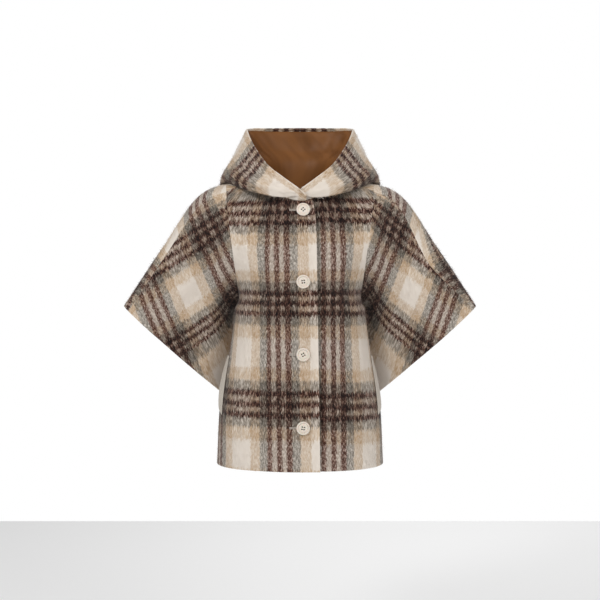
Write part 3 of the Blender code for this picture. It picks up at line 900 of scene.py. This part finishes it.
# The hood is two halves of the wool joined at the middle of the back. It is sewn into the neck, rolls over
# into a soft fold that rests on the shoulders, and rises to a face edge that crosses over at the front.
Profile = namedtuple("Profile", "angle stand fold_x fold_y fold_z curl lean swell edge_x edge_y edge_z")
HOOD = (
    Profile(-9, 0.002, -0.0133, -0.0965, -0.0205, 0.0000, 0.0, 0.000, -0.0135, -0.0990, -0.0150),
    Profile(0, 0.003, 0.0000, -0.0970, -0.0155, 0.0000, 0.0, 0.000, 0.0015, -0.1020, -0.0010),
    Profile(20, 0.003, 0.0340, -0.0990, -0.0195, 0.0070, 0.0, 0.000, 0.0340, -0.0970, 0.0240),
    Profile(45, 0.005, 0.0835, -0.0965, -0.0120, 0.0130, 0.1, 0.000, 0.0680, -0.0750, 0.0510),
    Profile(65, 0.008, 0.1240, -0.0660, -0.0010, 0.0125, 0.4, 0.000, 0.0880, -0.0470, 0.0760),
    Profile(82, 0.012, 0.1560, -0.0290, 0.0140, 0.0115, 0.6, 0.000, 0.1060, -0.0130, 0.1040),
    Profile(103, 0.014, 0.1790, 0.0250, 0.0115, 0.0110, 0.7, 0.000, 0.1190, 0.0300, 0.1320),
    Profile(128, 0.014, 0.1640, 0.0860, -0.0270, 0.0145, 0.3, 0.006, 0.1160, 0.0640, 0.1405),
    Profile(155, 0.014, 0.0900, 0.1300, -0.1000, 0.0170, 0.0, 0.016, 0.0600, 0.0840, 0.1425),
    Profile(180, 0.014, 0.0000, 0.1400, -0.1240, 0.0180, 0.0, 0.018, 0.0000, 0.0880, 0.1430),
)
PROFILE_STOPS = (0.0, 0.10, 0.37, 0.43, 0.49, 0.75, 1.0)
STAND_LEAN = 0.5
CURL_OUT = 0.7
FLAT_SPREAD = 0.004
FLAT_CURL = 0.007
LAP_OPEN = 0.0030
HOOD_AROUND = 0.42
HOOD_UP = 0.34
RIM_TAN = 0.016
# Painted highlight along the face edge of the hood: the cloth within this width of the edge takes the cream of
# the plaid at the place given below, standing in for light caught on the turned edge.
RIM_HIGHLIGHT_WIDTH = 0.002
RIM_HIGHLIGHT_PLACE = 0.004
HOOD_SKEW = 0.13
SKEW_FROM = 82.0
SKEW_GONE = 125.0
RIM_DARK = 0.0905
UPWARD = np.array((0.0, 0.0, 1.0))


def outward_at(angle):
    turn = np.radians(angle)
    return np.stack((np.sin(turn), -np.cos(turn), 0 * turn), -1)


def hood_point(angle, up):
    row = Profile(angle, *columns_at(HOOD, angle))
    outward = outward_at(angle)
    seam = neck(angle)
    fold = np.stack((row.fold_x, row.fold_y, row.fold_z), -1)
    edge = np.stack((row.edge_x, row.edge_y, row.edge_z), -1)
    spread = unit(edge - seam) * FLAT_SPREAD * np.maximum(1 - row.curl / FLAT_CURL, 0.0)[:, None]
    stand = seam + row.stand[:, None] * (outward * STAND_LEAN + UPWARD)
    curl = row.curl[:, None]
    lean = row.lean[:, None]
    inner = fold + curl * (UPWARD - outward * (1 + lean)) - spread
    outer = fold + curl * (UPWARD + outward * (CURL_OUT - lean)) + spread
    wall = 0.5 * (outer + edge) + row.swell[:, None] * outward
    stages = np.stack((seam, stand, inner, fold, outer, wall, edge))
    points = smooth(PROFILE_STOPS, stages.reshape(len(stages), -1), up)
    return np.moveaxis(points.reshape(len(up), len(angle), 3), 0, 1)


def hood_grid(lap, up):
    angle = lap.neck_angle + (180 - lap.neck_angle) * edged(HOOD_AROUND)
    points = placed(hood_point(angle, up), lap)
    if lap.lifted:
        x, y = points[..., 0], points[..., 1]
        near = np.where(x < 0, ease((LAP_END + x) / (LAP_END - LAP_FULL)), 1.0)
        points[..., 1] -= np.where(y < 0, LAP_OPEN * up[None, :] * near, 0.0)
    return angle, points


def hood_places(angle, grid, lap):
    rim = run_lengths(grid, 0)[:, -1]
    rim_x = lap.side * grid[:, -1, 0]
    front = np.arange(np.argmax(rim_x))
    dark = np.interp(RIM_DARK, rim_x[front], rim[front])
    run = run_lengths(grid, 1)
    from_rim = run[:, -1:] - run
    # Painted highlight: the narrow strip next to the face edge is given the cream of the plaid at one fixed
    # place across, in place of light caught on the turned edge.
    across = np.where(from_rim < RIM_HIGHLIGHT_WIDTH, RIM_HIGHLIGHT_PLACE, from_rim - RIM_TAN)
    skew = HOOD_SKEW * (1 - ease((angle - SKEW_FROM) / (SKEW_GONE - SKEW_FROM)))
    down = (rim - dark)[:, None] - skew[:, None] * from_rim + DARK_DOWN
    return np.stack((across, down), -1)


HOOD_CREASES = {
    "hood_right": (
        Crease(-0.118, 0.030, 0.09, 0.012, 0.0022, 40),
        Crease(-0.090, 0.030, 0.08, 0.014, -0.0016, 48),
        Crease(-0.050, -0.010, 0.08, 0.010, 0.0014, 70),
    ),
    "hood_left": (
        Crease(0.124, 0.036, 0.09, 0.012, 0.0024, -38),
        Crease(0.094, 0.024, 0.08, 0.014, -0.0018, -52),
        Crease(0.052, -0.006, 0.08, 0.010, 0.0016, -66),
    ),
}
hood_wool = plaid_finish("plaid_wool_hood", drag_across=0.011, drag_down=0.015)

for node_name, lap, seed in (("hood_right", RIGHT, 31), ("hood_left", LEFT, 32)):
    angle, grid = hood_grid(lap, edged(HOOD_UP))
    outside = (0.5 * lap.side, 0, -1)
    places = hood_places(angle, grid, lap)
    wool_panel(node_name, grid, outside, places, HOOD_CREASES[node_name], seed, hood_wool)

# The lining is brown satin in one sheet against the inside of both hood halves, and a facing of the same
# satin lies inside the back of the neck. It is smooth, with soft upright ripples where it is eased in,
# and low down it hangs forward in a fold over the neck seam.
SATIN = 0.0010
LYING_GAP = 0.0006
LINING_ANGLE = 40.0
LINING_FOOT = 0.012
LINING_RIM = 0.985
LINING_STEPS = 130
LINING_UP = np.linspace(LINING_FOOT, LINING_RIM, LINING_STEPS)
BAG_FROM = 72.0
BAG_FULL = 96.0
BAG_STOPS = (0.48, 0.60, 0.66, 0.72, 0.78, 0.88, LINING_RIM)
BAG_GAP = 0.0020
BAG_DROP = 0.050
BAG_HOLLOW = 0.006
CREST_RISE = 0.0080
Ripple = namedtuple("Ripple", "angle width depth")
RIPPLES = (
    Ripple(100.0, 5.0, 0.0030),
    Ripple(113.0, 4.0, 0.0024),
    Ripple(126.0, 6.0, 0.0034),
    Ripple(143.0, 5.0, 0.0016),
    Ripple(160.0, 7.0, 0.0020),
    Ripple(176.0, 6.0, 0.0014),
)
RIPPLE_START = 0.06
RIPPLE_FADE = 0.03
FACING_ANGLE = 98.0
FACING_ANGLES = 40
FACING_UP = (0.11, 0.01, 8)
FACING_DOWN = (0.006, 0.33, 36)
SATIN_BROWN = (0.200, 0.080, 0.024, 1.0)
SATIN_DARK = (0.120, 0.045, 0.012, 1.0)
SATIN_CLOUDS = Streak("clouds", 22.0, 7.0, 2.2, 2.0)
SATIN_THREADS = Streak("threads", 2600.0, 500.0, 4.4, 1.0)


def two_tone(tree, shader, share, first, second):
    tone = node(tree, "ShaderNodeMix", data_type="RGBA")
    tone.inputs[6].default_value = first
    tone.inputs[7].default_value = second
    joined(tree, share, tone.inputs["Factor"])
    joined(tree, tone.outputs[2], shader.inputs["Base Color"])


brown_satin = bpy.data.materials.new("brown_satin_lining")
brown_satin.use_nodes = True
tree = brown_satin.node_tree
shader = tree.nodes["Principled BSDF"]
shader.inputs["Roughness"].default_value = 0.45
shader.inputs["Specular IOR Level"].default_value = 0.12
places = node(tree, "ShaderNodeUVMap", uv_map="cloth")
spread = node(tree, "ShaderNodeMapRange")
spread.inputs["From Min"].default_value = 0.3
spread.inputs["From Max"].default_value = 0.6
joined(tree, streaks(tree, places.outputs[0], SATIN_CLOUDS), spread.inputs["Value"])
two_tone(tree, shader, spread.outputs[0], SATIN_DARK, SATIN_BROWN)
bump = node(tree, "ShaderNodeBump")
bump.inputs["Strength"].default_value = 0.12
bump.inputs["Distance"].default_value = 0.0004
joined(tree, streaks(tree, places.outputs[0], SATIN_THREADS), bump.inputs["Height"])
joined(tree, bump.outputs[0], shader.inputs["Normal"])


def bagged(sheet, angle, lap):
    outward = outward_at(angle)
    seam = neck(angle) - outward * (WOOL + LYING_GAP + SATIN)
    crest = hood_point(angle, np.array((PROFILE_STOPS[1],)))[:, 0] + UPWARD * CREST_RISE
    foot = seam - outward * 0.5 * BAG_GAP - UPWARD * BAG_DROP
    before = placed(seam - outward * BAG_GAP, lap)
    rim = sheet[:, -1]
    wall = 0.5 * (before + rim) + placed(outward * BAG_HOLLOW, lap)
    pouch = sheet[:, np.searchsorted(LINING_UP, BAG_STOPS[0])]
    stages = np.stack((pouch, placed(crest, lap), placed(seam, lap), placed(foot, lap), before, wall, rim))
    path = smooth(BAG_STOPS, stages.reshape(len(stages), -1), np.maximum(LINING_UP, BAG_STOPS[0]))
    path = np.moveaxis(path.reshape(len(LINING_UP), len(angle), 3), 0, 1)
    share = ease((angle - BAG_FROM) / (BAG_FULL - BAG_FROM))[:, None] * (LINING_UP > BAG_STOPS[0])
    return sheet + share[..., None] * (path - sheet)


def lining_half(lap):
    angle, grid = hood_grid(lap, LINING_UP)
    rows = angle >= LINING_ANGLE
    angle, grid = angle[rows], grid[rows]
    sheet = grid - grid_normals(grid, (0.5 * lap.side, 0, -1)) * (WOOL + LYING_GAP)
    sheet = bagged(sheet, angle, lap)
    inward = -placed(outward_at(angle), lap)
    ripple = np.zeros(len(angle))
    for row in RIPPLES:
        ripple += row.depth * np.exp(-(((angle - row.angle) / row.width) ** 2))
    started = ease((LINING_UP - BAG_STOPS[-3]) / RIPPLE_START)
    hanging = started * ease((LINING_RIM - LINING_UP) / RIPPLE_FADE)
    return sheet + inward[:, None, :] * (ripple[:, None] * hanging)[..., None]


def plain_places(grid):
    return np.stack((run_lengths(grid, 0), run_lengths(grid, 1)), -1)


def satin_sheet(node_name, grid, outside, finish):
    made, _, _ = shell(node_name + "_satin", grid, outside, plain_places(grid), SATIN, finish)
    takes_place(made, node_name)


lining_right = lining_half(RIGHT)
lining_left = lining_half(LEFT)
lining = np.concatenate((lining_right[:-1], lining_left[::-1]))
satin_sheet("hood_lining", lining, (0, 0.5, -1), brown_satin)


def facing_half(lap):
    angle = np.linspace(FACING_ANGLE, 180.0, FACING_ANGLES)
    across = (180.0 - angle) / (180.0 - SHOULDER_ANGLE) * BACK_NECK_SHARE
    over = np.moveaxis(hood_point(angle, np.linspace(*FACING_UP)), 0, 1)
    over = over - grid_normals(over, (0, 1, -STAND_LEAN)) * (WOOL + LYING_GAP)
    below = back_point(across[None, :], np.linspace(*FACING_DOWN)[:, None], lap.side)
    below = below - grid_normals(below, (0, 1, 0)) * (WOOL + LYING_GAP)
    return placed(np.concatenate((over, below)), lap)


facing = np.concatenate((facing_half(RIGHT)[:, :-1], facing_half(LEFT)[:, ::-1]), axis=1)
satin_sheet("neck_facing", facing, (0, 1, 0), brown_satin)

# The pocket welts are strips of plain cream wool along the side pockets, folded and sewn on by their ends.
# Their front edges are sewn down, and their back edges stand a little away where the hands go in.
WELT_CLOTH = 0.0020
WELT_LIFT = 0.0008
WELT_GAPES = {-1: 0.0045, 1: 0.0020}
WELT_TOP = -0.372
WELT_BOTTOM = -0.502
WELT_FRONT = 0.79
WELT_BEHIND = 0.94
WELT_SLANT = 0.012
WELT_LENGTH = 0.130
WELT_WIDTH = 0.026
WELT_TRIALS = 117
GAPE_ROUND = 0.7
WELT_CREAM = (0.60, 0.545, 0.475, 1.0)
WELT_SHADE = (0.47, 0.42, 0.36, 1.0)

cream_wool, tree, shader, _, nap = wool_finish("cream_wool_welt")
two_tone(tree, shader, nap.outputs["Fleck down"], WELT_SHADE, WELT_CREAM)


def down_at_height(height, across, side):
    trial = np.linspace(UNDERARM, 1.0, WELT_TRIALS)
    heights = -front_point(np.full_like(trial, across), trial, side)[:, 2]
    return np.interp(-height, heights, trial)


def welt_grid(lap):
    rows = edged(WELT_LENGTH)
    columns = edged(WELT_WIDTH)
    grid = np.zeros((len(rows), len(columns), 3))
    for place, share in enumerate(columns):
        across = WELT_FRONT + (WELT_BEHIND - WELT_FRONT) * share
        height = WELT_TOP + (WELT_BOTTOM - WELT_TOP) * rows + WELT_SLANT * share * rows
        down = down_at_height(height, across, lap.side)
        grid[:, place] = placed(front_point(np.full_like(down, across), down, lap.side), lap)
    normals = grid_normals(grid, (lap.side, -1, 0))
    gape = WELT_GAPES[lap.side] * np.sin(math.pi * rows)[:, None] ** GAPE_ROUND * columns[None, :]
    return grid + normals * (WELT_LIFT + WELT_CLOTH + gape)[..., None]


for node_name, lap in (("pocket_welt_right", RIGHT), ("pocket_welt_left", LEFT)):
    grid = welt_grid(lap)
    places = plain_places(grid)[..., ::-1]
    made, _, _ = shell(node_name + "_cloth", grid, (lap.side, -1, 0), places, WELT_CLOTH, cream_wool)
    takes_place(made, node_name)
    flat, area = cut_size(grid)

# The four buttons are turned from pale cream resin, with a rounded rim, a dished middle and four holes.
# Dark thread sews each one through its holes, and a buttonhole worked in cream thread runs in under it.
BUTTON_LINE = 0.007
BUTTON_RADIUS = 0.0150
BUTTON_STAND = 0.0012
BUTTON_REACH = 0.02
BUTTON_SIDES = 64
BUTTON_TRIALS = 201
SHARP_ANGLE = 40
WELD = 1e-6
HOLE_RADIUS = 0.0016
HOLE_SPACING = 0.0025
HOLE_SIDES = 16
HOLE_DEPTH = 0.02
THREAD_FROM = -0.0010
THREAD_TO = 0.0040
THREAD_FILL = 0.95 * HOLE_RADIUS
BAR_RADIUS = 0.0002475
BAR_HEIGHT = 0.0033
Turned = namedtuple("Turned", "inset rise")
BUTTON_OUTLINE = (
    Turned(0.0150, 0.0003),
    Turned(0.0020, 0.0001),
    Turned(0.0009, 0.0005),
    Turned(0.0002, 0.0013),
    Turned(0.0000, 0.0023),
    Turned(0.0002, 0.0033),
    Turned(0.0007, 0.0041),
    Turned(0.0015, 0.0046),
    Turned(0.0027, 0.0047),
    Turned(0.0034, 0.0044),
    Turned(0.0038, 0.0033),
    Turned(0.0042, 0.0025),
    Turned(0.0049, 0.0024),
    Turned(0.0056, 0.0029),
    Turned(0.0085, 0.0032),
    Turned(0.0150, 0.0032),
)
Button = namedtuple("Button", "node z turn")
BUTTONS = (
    Button("button_1", -0.0460, 45),
    Button("button_2", -0.2010, 8),
    Button("button_3", -0.3590, 30),
    Button("button_4", -0.5195, -12),
)
BUTTON_RESIN = (0.74, 0.665, 0.58, 1.0)
BUTTON_SHADE = (0.66, 0.58, 0.49, 1.0)
THREAD_BROWN = (0.030, 0.018, 0.014, 1.0)
SLIT_START = -0.0215
SLIT_END = 0.0060
SLIT_STITCHES = 24
SLIT_HALF = 0.0002
SLIT_BAR = 0.0008
STITCH_LENGTH = 0.0021
STITCH_RADIUS = 0.00042
STITCH_HEIGHT = 0.0008
END_RADIUS = 1.3 * STITCH_RADIUS
STITCH_CREAM = (0.58, 0.52, 0.46, 1.0)
ROD_SIDES = 6
ROD_SHAPE = ((0.0, 0.35), (0.14, 0.9), (0.5, 1.0), (0.86, 0.9), (1.0, 0.35))
ROD_ASIDE = (0.31, 0.77, 0.55)


def plain_finish(name, colour, roughness):
    finish = bpy.data.materials.new(name)
    finish.use_nodes = True
    shader = finish.node_tree.nodes["Principled BSDF"]
    shader.inputs["Base Color"].default_value = colour
    shader.inputs["Roughness"].default_value = roughness
    return finish, finish.node_tree, shader


resin, tree, shader = plain_finish("button_resin_cream", BUTTON_RESIN, 0.38)
shader.inputs["Subsurface Weight"].default_value = 0.08
shader.inputs["Subsurface Scale"].default_value = 0.002
spot = node(tree, "ShaderNodeTexCoord")
clouds = node(tree, "ShaderNodeTexNoise")
clouds.inputs["Scale"].default_value = 120.0
joined(tree, spot.outputs["Object"], clouds.inputs["Vector"])
two_tone(tree, shader, clouds.outputs[0], BUTTON_SHADE, BUTTON_RESIN)
brown_thread, _, _ = plain_finish("button_thread_brown", THREAD_BROWN, 0.8)
cream_thread, _, _ = plain_finish("buttonhole_thread_cream", STITCH_CREAM, 0.8)


def rod(ends, radius):
    first, last = np.array(ends[0], float), np.array(ends[1], float)
    axis = unit(last - first)
    aside = unit(np.cross(axis, ROD_ASIDE))
    turn = np.linspace(0, math.tau, ROD_SIDES, endpoint=False)[:, None]
    ring = np.cos(turn) * aside + np.sin(turn) * np.cross(axis, aside)
    return np.stack([first + (last - first) * share + ring * radius * thick for share, thick in ROD_SHAPE])


def rods_object(name, rods, finish):
    count, rings, sides, _ = rods.shape
    index = np.arange(rings * sides).reshape(rings, sides)
    beside = np.roll(index, -1, 1)
    quads = np.stack((index[:-1], beside[:-1], beside[1:], index[1:]), -1).reshape(-1, 4)
    faces = (quads[None] + (np.arange(count) * rings * sides)[:, None, None]).reshape(-1, 4)
    points = rods.reshape(-1, 3)
    return cloth_mesh(name, points, faces, points[:, :2], finish)


def button_seat(height):
    trial = np.linspace(0.0, 1.0, BUTTON_TRIALS)
    heights = -front_point(np.zeros_like(trial), trial, RIGHT.side)[:, 2]
    down = np.interp(-height, heights, trial)
    ends = np.array((down - BUTTON_REACH, down + BUTTON_REACH))
    above, below = placed(front_point(np.zeros(2), ends, RIGHT.side), RIGHT)
    slope = unit(above - below)
    outward = np.cross((1.0, 0.0, 0.0), slope)
    outward = outward if outward[1] < 0 else -outward
    middle = 0.5 * (above + below)
    middle[0] = 0.0
    return middle, np.cross(slope, outward), slope, outward


for button in BUTTONS:
    middle, sideways, slope, outward = button_seat(button.z)
    turn = math.radians(button.turn)
    first_way = sideways * math.cos(turn) + slope * math.sin(turn)
    second_way = slope * math.cos(turn) - sideways * math.sin(turn)
    axes = np.stack((first_way, second_way, outward), 1)
    centre = middle + outward * BUTTON_STAND + np.array((BUTTON_LINE, 0, 0))

    disc = bmesh.new()
    chain = [disc.verts.new((BUTTON_RADIUS - row.inset, 0.0, row.rise)) for row in BUTTON_OUTLINE]
    edges = [disc.edges.new(pair) for pair in zip(chain, chain[1:])]
    profile = chain + edges
    bmesh.ops.spin(disc, geom=profile, cent=(0, 0, 0), axis=(0, 0, 1), angle=math.tau, steps=BUTTON_SIDES)
    bmesh.ops.remove_doubles(disc, verts=disc.verts, dist=WELD)
    bmesh.ops.recalc_face_normals(disc, faces=disc.faces)
    disc_mesh = bpy.data.meshes.new(button.node + "_disc")
    disc.to_mesh(disc_mesh)
    disc.free()
    made = bpy.data.objects.new(button.node + "_disc", disc_mesh)
    scene.collection.objects.link(made)
    holes = bmesh.new()
    corners = [(x * HOLE_SPACING, y * HOLE_SPACING) for x, y in ((-1, -1), (1, -1), (-1, 1), (1, 1))]
    for x, y in corners:
        ring = bmesh.ops.create_cone(
            holes, cap_ends=True, segments=HOLE_SIDES, radius1=HOLE_RADIUS, radius2=HOLE_RADIUS, depth=HOLE_DEPTH
        )
        bmesh.ops.translate(holes, verts=ring["verts"], vec=(x, y, 0))
    hole_mesh = bpy.data.meshes.new("thread_holes")
    holes.to_mesh(hole_mesh)
    holes.free()
    cutter = bpy.data.objects.new("thread_holes", hole_mesh)
    scene.collection.objects.link(cutter)
    cut = made.modifiers.new("thread_holes", "BOOLEAN")
    cut.object = cutter
    cut.solver = "EXACT"
    bpy.context.view_layer.update()
    drilled = bpy.data.meshes.new_from_object(made.evaluated_get(bpy.context.evaluated_depsgraph_get()))
    made.modifiers.clear()
    made.data = drilled
    bpy.data.objects.remove(cutter)
    for point in drilled.vertices:
        point.co = axes @ np.array(point.co) + centre
    drilled.materials.clear()
    drilled.materials.append(resin)
    drilled.polygons.foreach_set("use_smooth", [True] * len(drilled.polygons))
    drilled.set_sharp_from_angle(angle=math.radians(SHARP_ANGLE))
    takes_place(made, button.node)

    threads = [rod(((x, y, THREAD_FROM), (x, y, THREAD_TO)), THREAD_FILL) for x, y in corners]
    for y in (-HOLE_SPACING, HOLE_SPACING):
        ends = [(x, y, BAR_HEIGHT) for x in (-HOLE_SPACING, HOLE_SPACING)]
        threads.append(rod(ends, BAR_RADIUS))
    threads = np.stack(threads) @ axes.T + centre
    sewn = rods_object(button.node + "_thread", threads, brown_thread)
    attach(sewn, "root")

    stitches = []
    for place in np.linspace(SLIT_START, SLIT_END, SLIT_STITCHES):
        for side in (-1, 1):
            low = np.array((place, 0, 0)) + slope * side * SLIT_HALF
            high = low + slope * side * STITCH_LENGTH
            stitches.append(rod((low, high), STITCH_RADIUS))
    for side in (-1, 1):
        bar = np.array((SLIT_START - SLIT_BAR, 0, 0)) + slope * side * STITCH_LENGTH
        stitches.append(rod((bar, bar - slope * side * STITCH_LENGTH), END_RADIUS))
    stitches = np.stack(stitches) + middle + outward * STITCH_HEIGHT
    worked = rods_object("buttonhole_" + button.node[-1], stitches, cream_thread)
    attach(worked, "root")

# The floor and the light of the studio: a pale floor below the coat, broad soft lamps and a white surround.
# The camera stands in front at the height of the chest, looking a little down, as in the photograph.
FLOOR_Z = -1.25
FLOOR_SIZE = 5.0
FLOOR_PALE = (0.9, 0.9, 0.9, 1.0)
FLOOR_ROUGHNESS = 0.8
AIM = (0.0, 0.0, -0.2475)
DISTANCE = 3.4
ELEVATION = 3.0
LENS = 90.7
SURROUND = 0.50
SENSOR = 36.0

floor_mesh = bpy.data.meshes.new("floor")
half = FLOOR_SIZE / 2
floor_mesh.from_pydata(
    [(-half, -half, FLOOR_Z), (half, -half, FLOOR_Z), (half, half, FLOOR_Z), (-half, half, FLOOR_Z)],
    [],
    [(0, 1, 2, 3)],
)
floor = bpy.data.objects.new("floor", floor_mesh)
scene.collection.objects.link(floor)
floor_finish, _, _ = plain_finish("floor_paint", FLOOR_PALE, FLOOR_ROUGHNESS)
floor_mesh.materials.append(floor_finish)

world = bpy.data.worlds.new("studio")
scene.world = world
world.use_nodes = True
surround = world.node_tree.nodes["Background"]
surround.inputs["Color"].default_value = (1.0, 1.0, 1.0, 1.0)
seen = node(world.node_tree, "ShaderNodeLightPath")
level = node(world.node_tree, "ShaderNodeMapRange")
level.inputs["To Min"].default_value = SURROUND
level.inputs["To Max"].default_value = 1.0
joined(world.node_tree, seen.outputs["Is Camera Ray"], level.inputs["Value"])
joined(world.node_tree, level.outputs[0], surround.inputs["Strength"])

Lamp = namedtuple("Lamp", "name x y z width height power")
LAMPS = (
    Lamp("key", -1.6, -2.7, 1.7, 0.6, 0.6, 48.0),
    Lamp("fill", 1.5, -2.8, 1.3, 1.6, 1.6, 34.0),
    Lamp("above", 0.0, 0.6, 2.4, 2.4, 1.6, 6.0),
    Lamp("behind", 0.9, 3.0, 1.3, 2.0, 2.0, 40.0),
)
for lamp in LAMPS:
    data = bpy.data.lights.new(lamp.name, "AREA")
    data.shape = "RECTANGLE"
    data.size = lamp.width
    data.size_y = lamp.height
    data.energy = lamp.power
    made = bpy.data.objects.new(lamp.name, data)
    made.location = (lamp.x, lamp.y, lamp.z)
    towards = np.array(AIM) - np.array((lamp.x, lamp.y, lamp.z))
    flat = math.hypot(towards[0], towards[1])
    made.rotation_euler = (math.atan2(flat, -towards[2]), 0.0, math.atan2(-towards[0], towards[1]))
    scene.collection.objects.link(made)

camera_data = bpy.data.cameras.new("camera")
camera_data.sensor_width = SENSOR
camera_data.lens = LENS
camera = bpy.data.objects.new("camera", camera_data)
rise = math.radians(ELEVATION)
camera.location = (AIM[0], AIM[1] - DISTANCE * math.cos(rise), AIM[2] + DISTANCE * math.sin(rise))
camera.rotation_euler = (math.pi / 2 - rise, 0.0, 0.0)
scene.collection.objects.link(camera)
scene.camera = camera
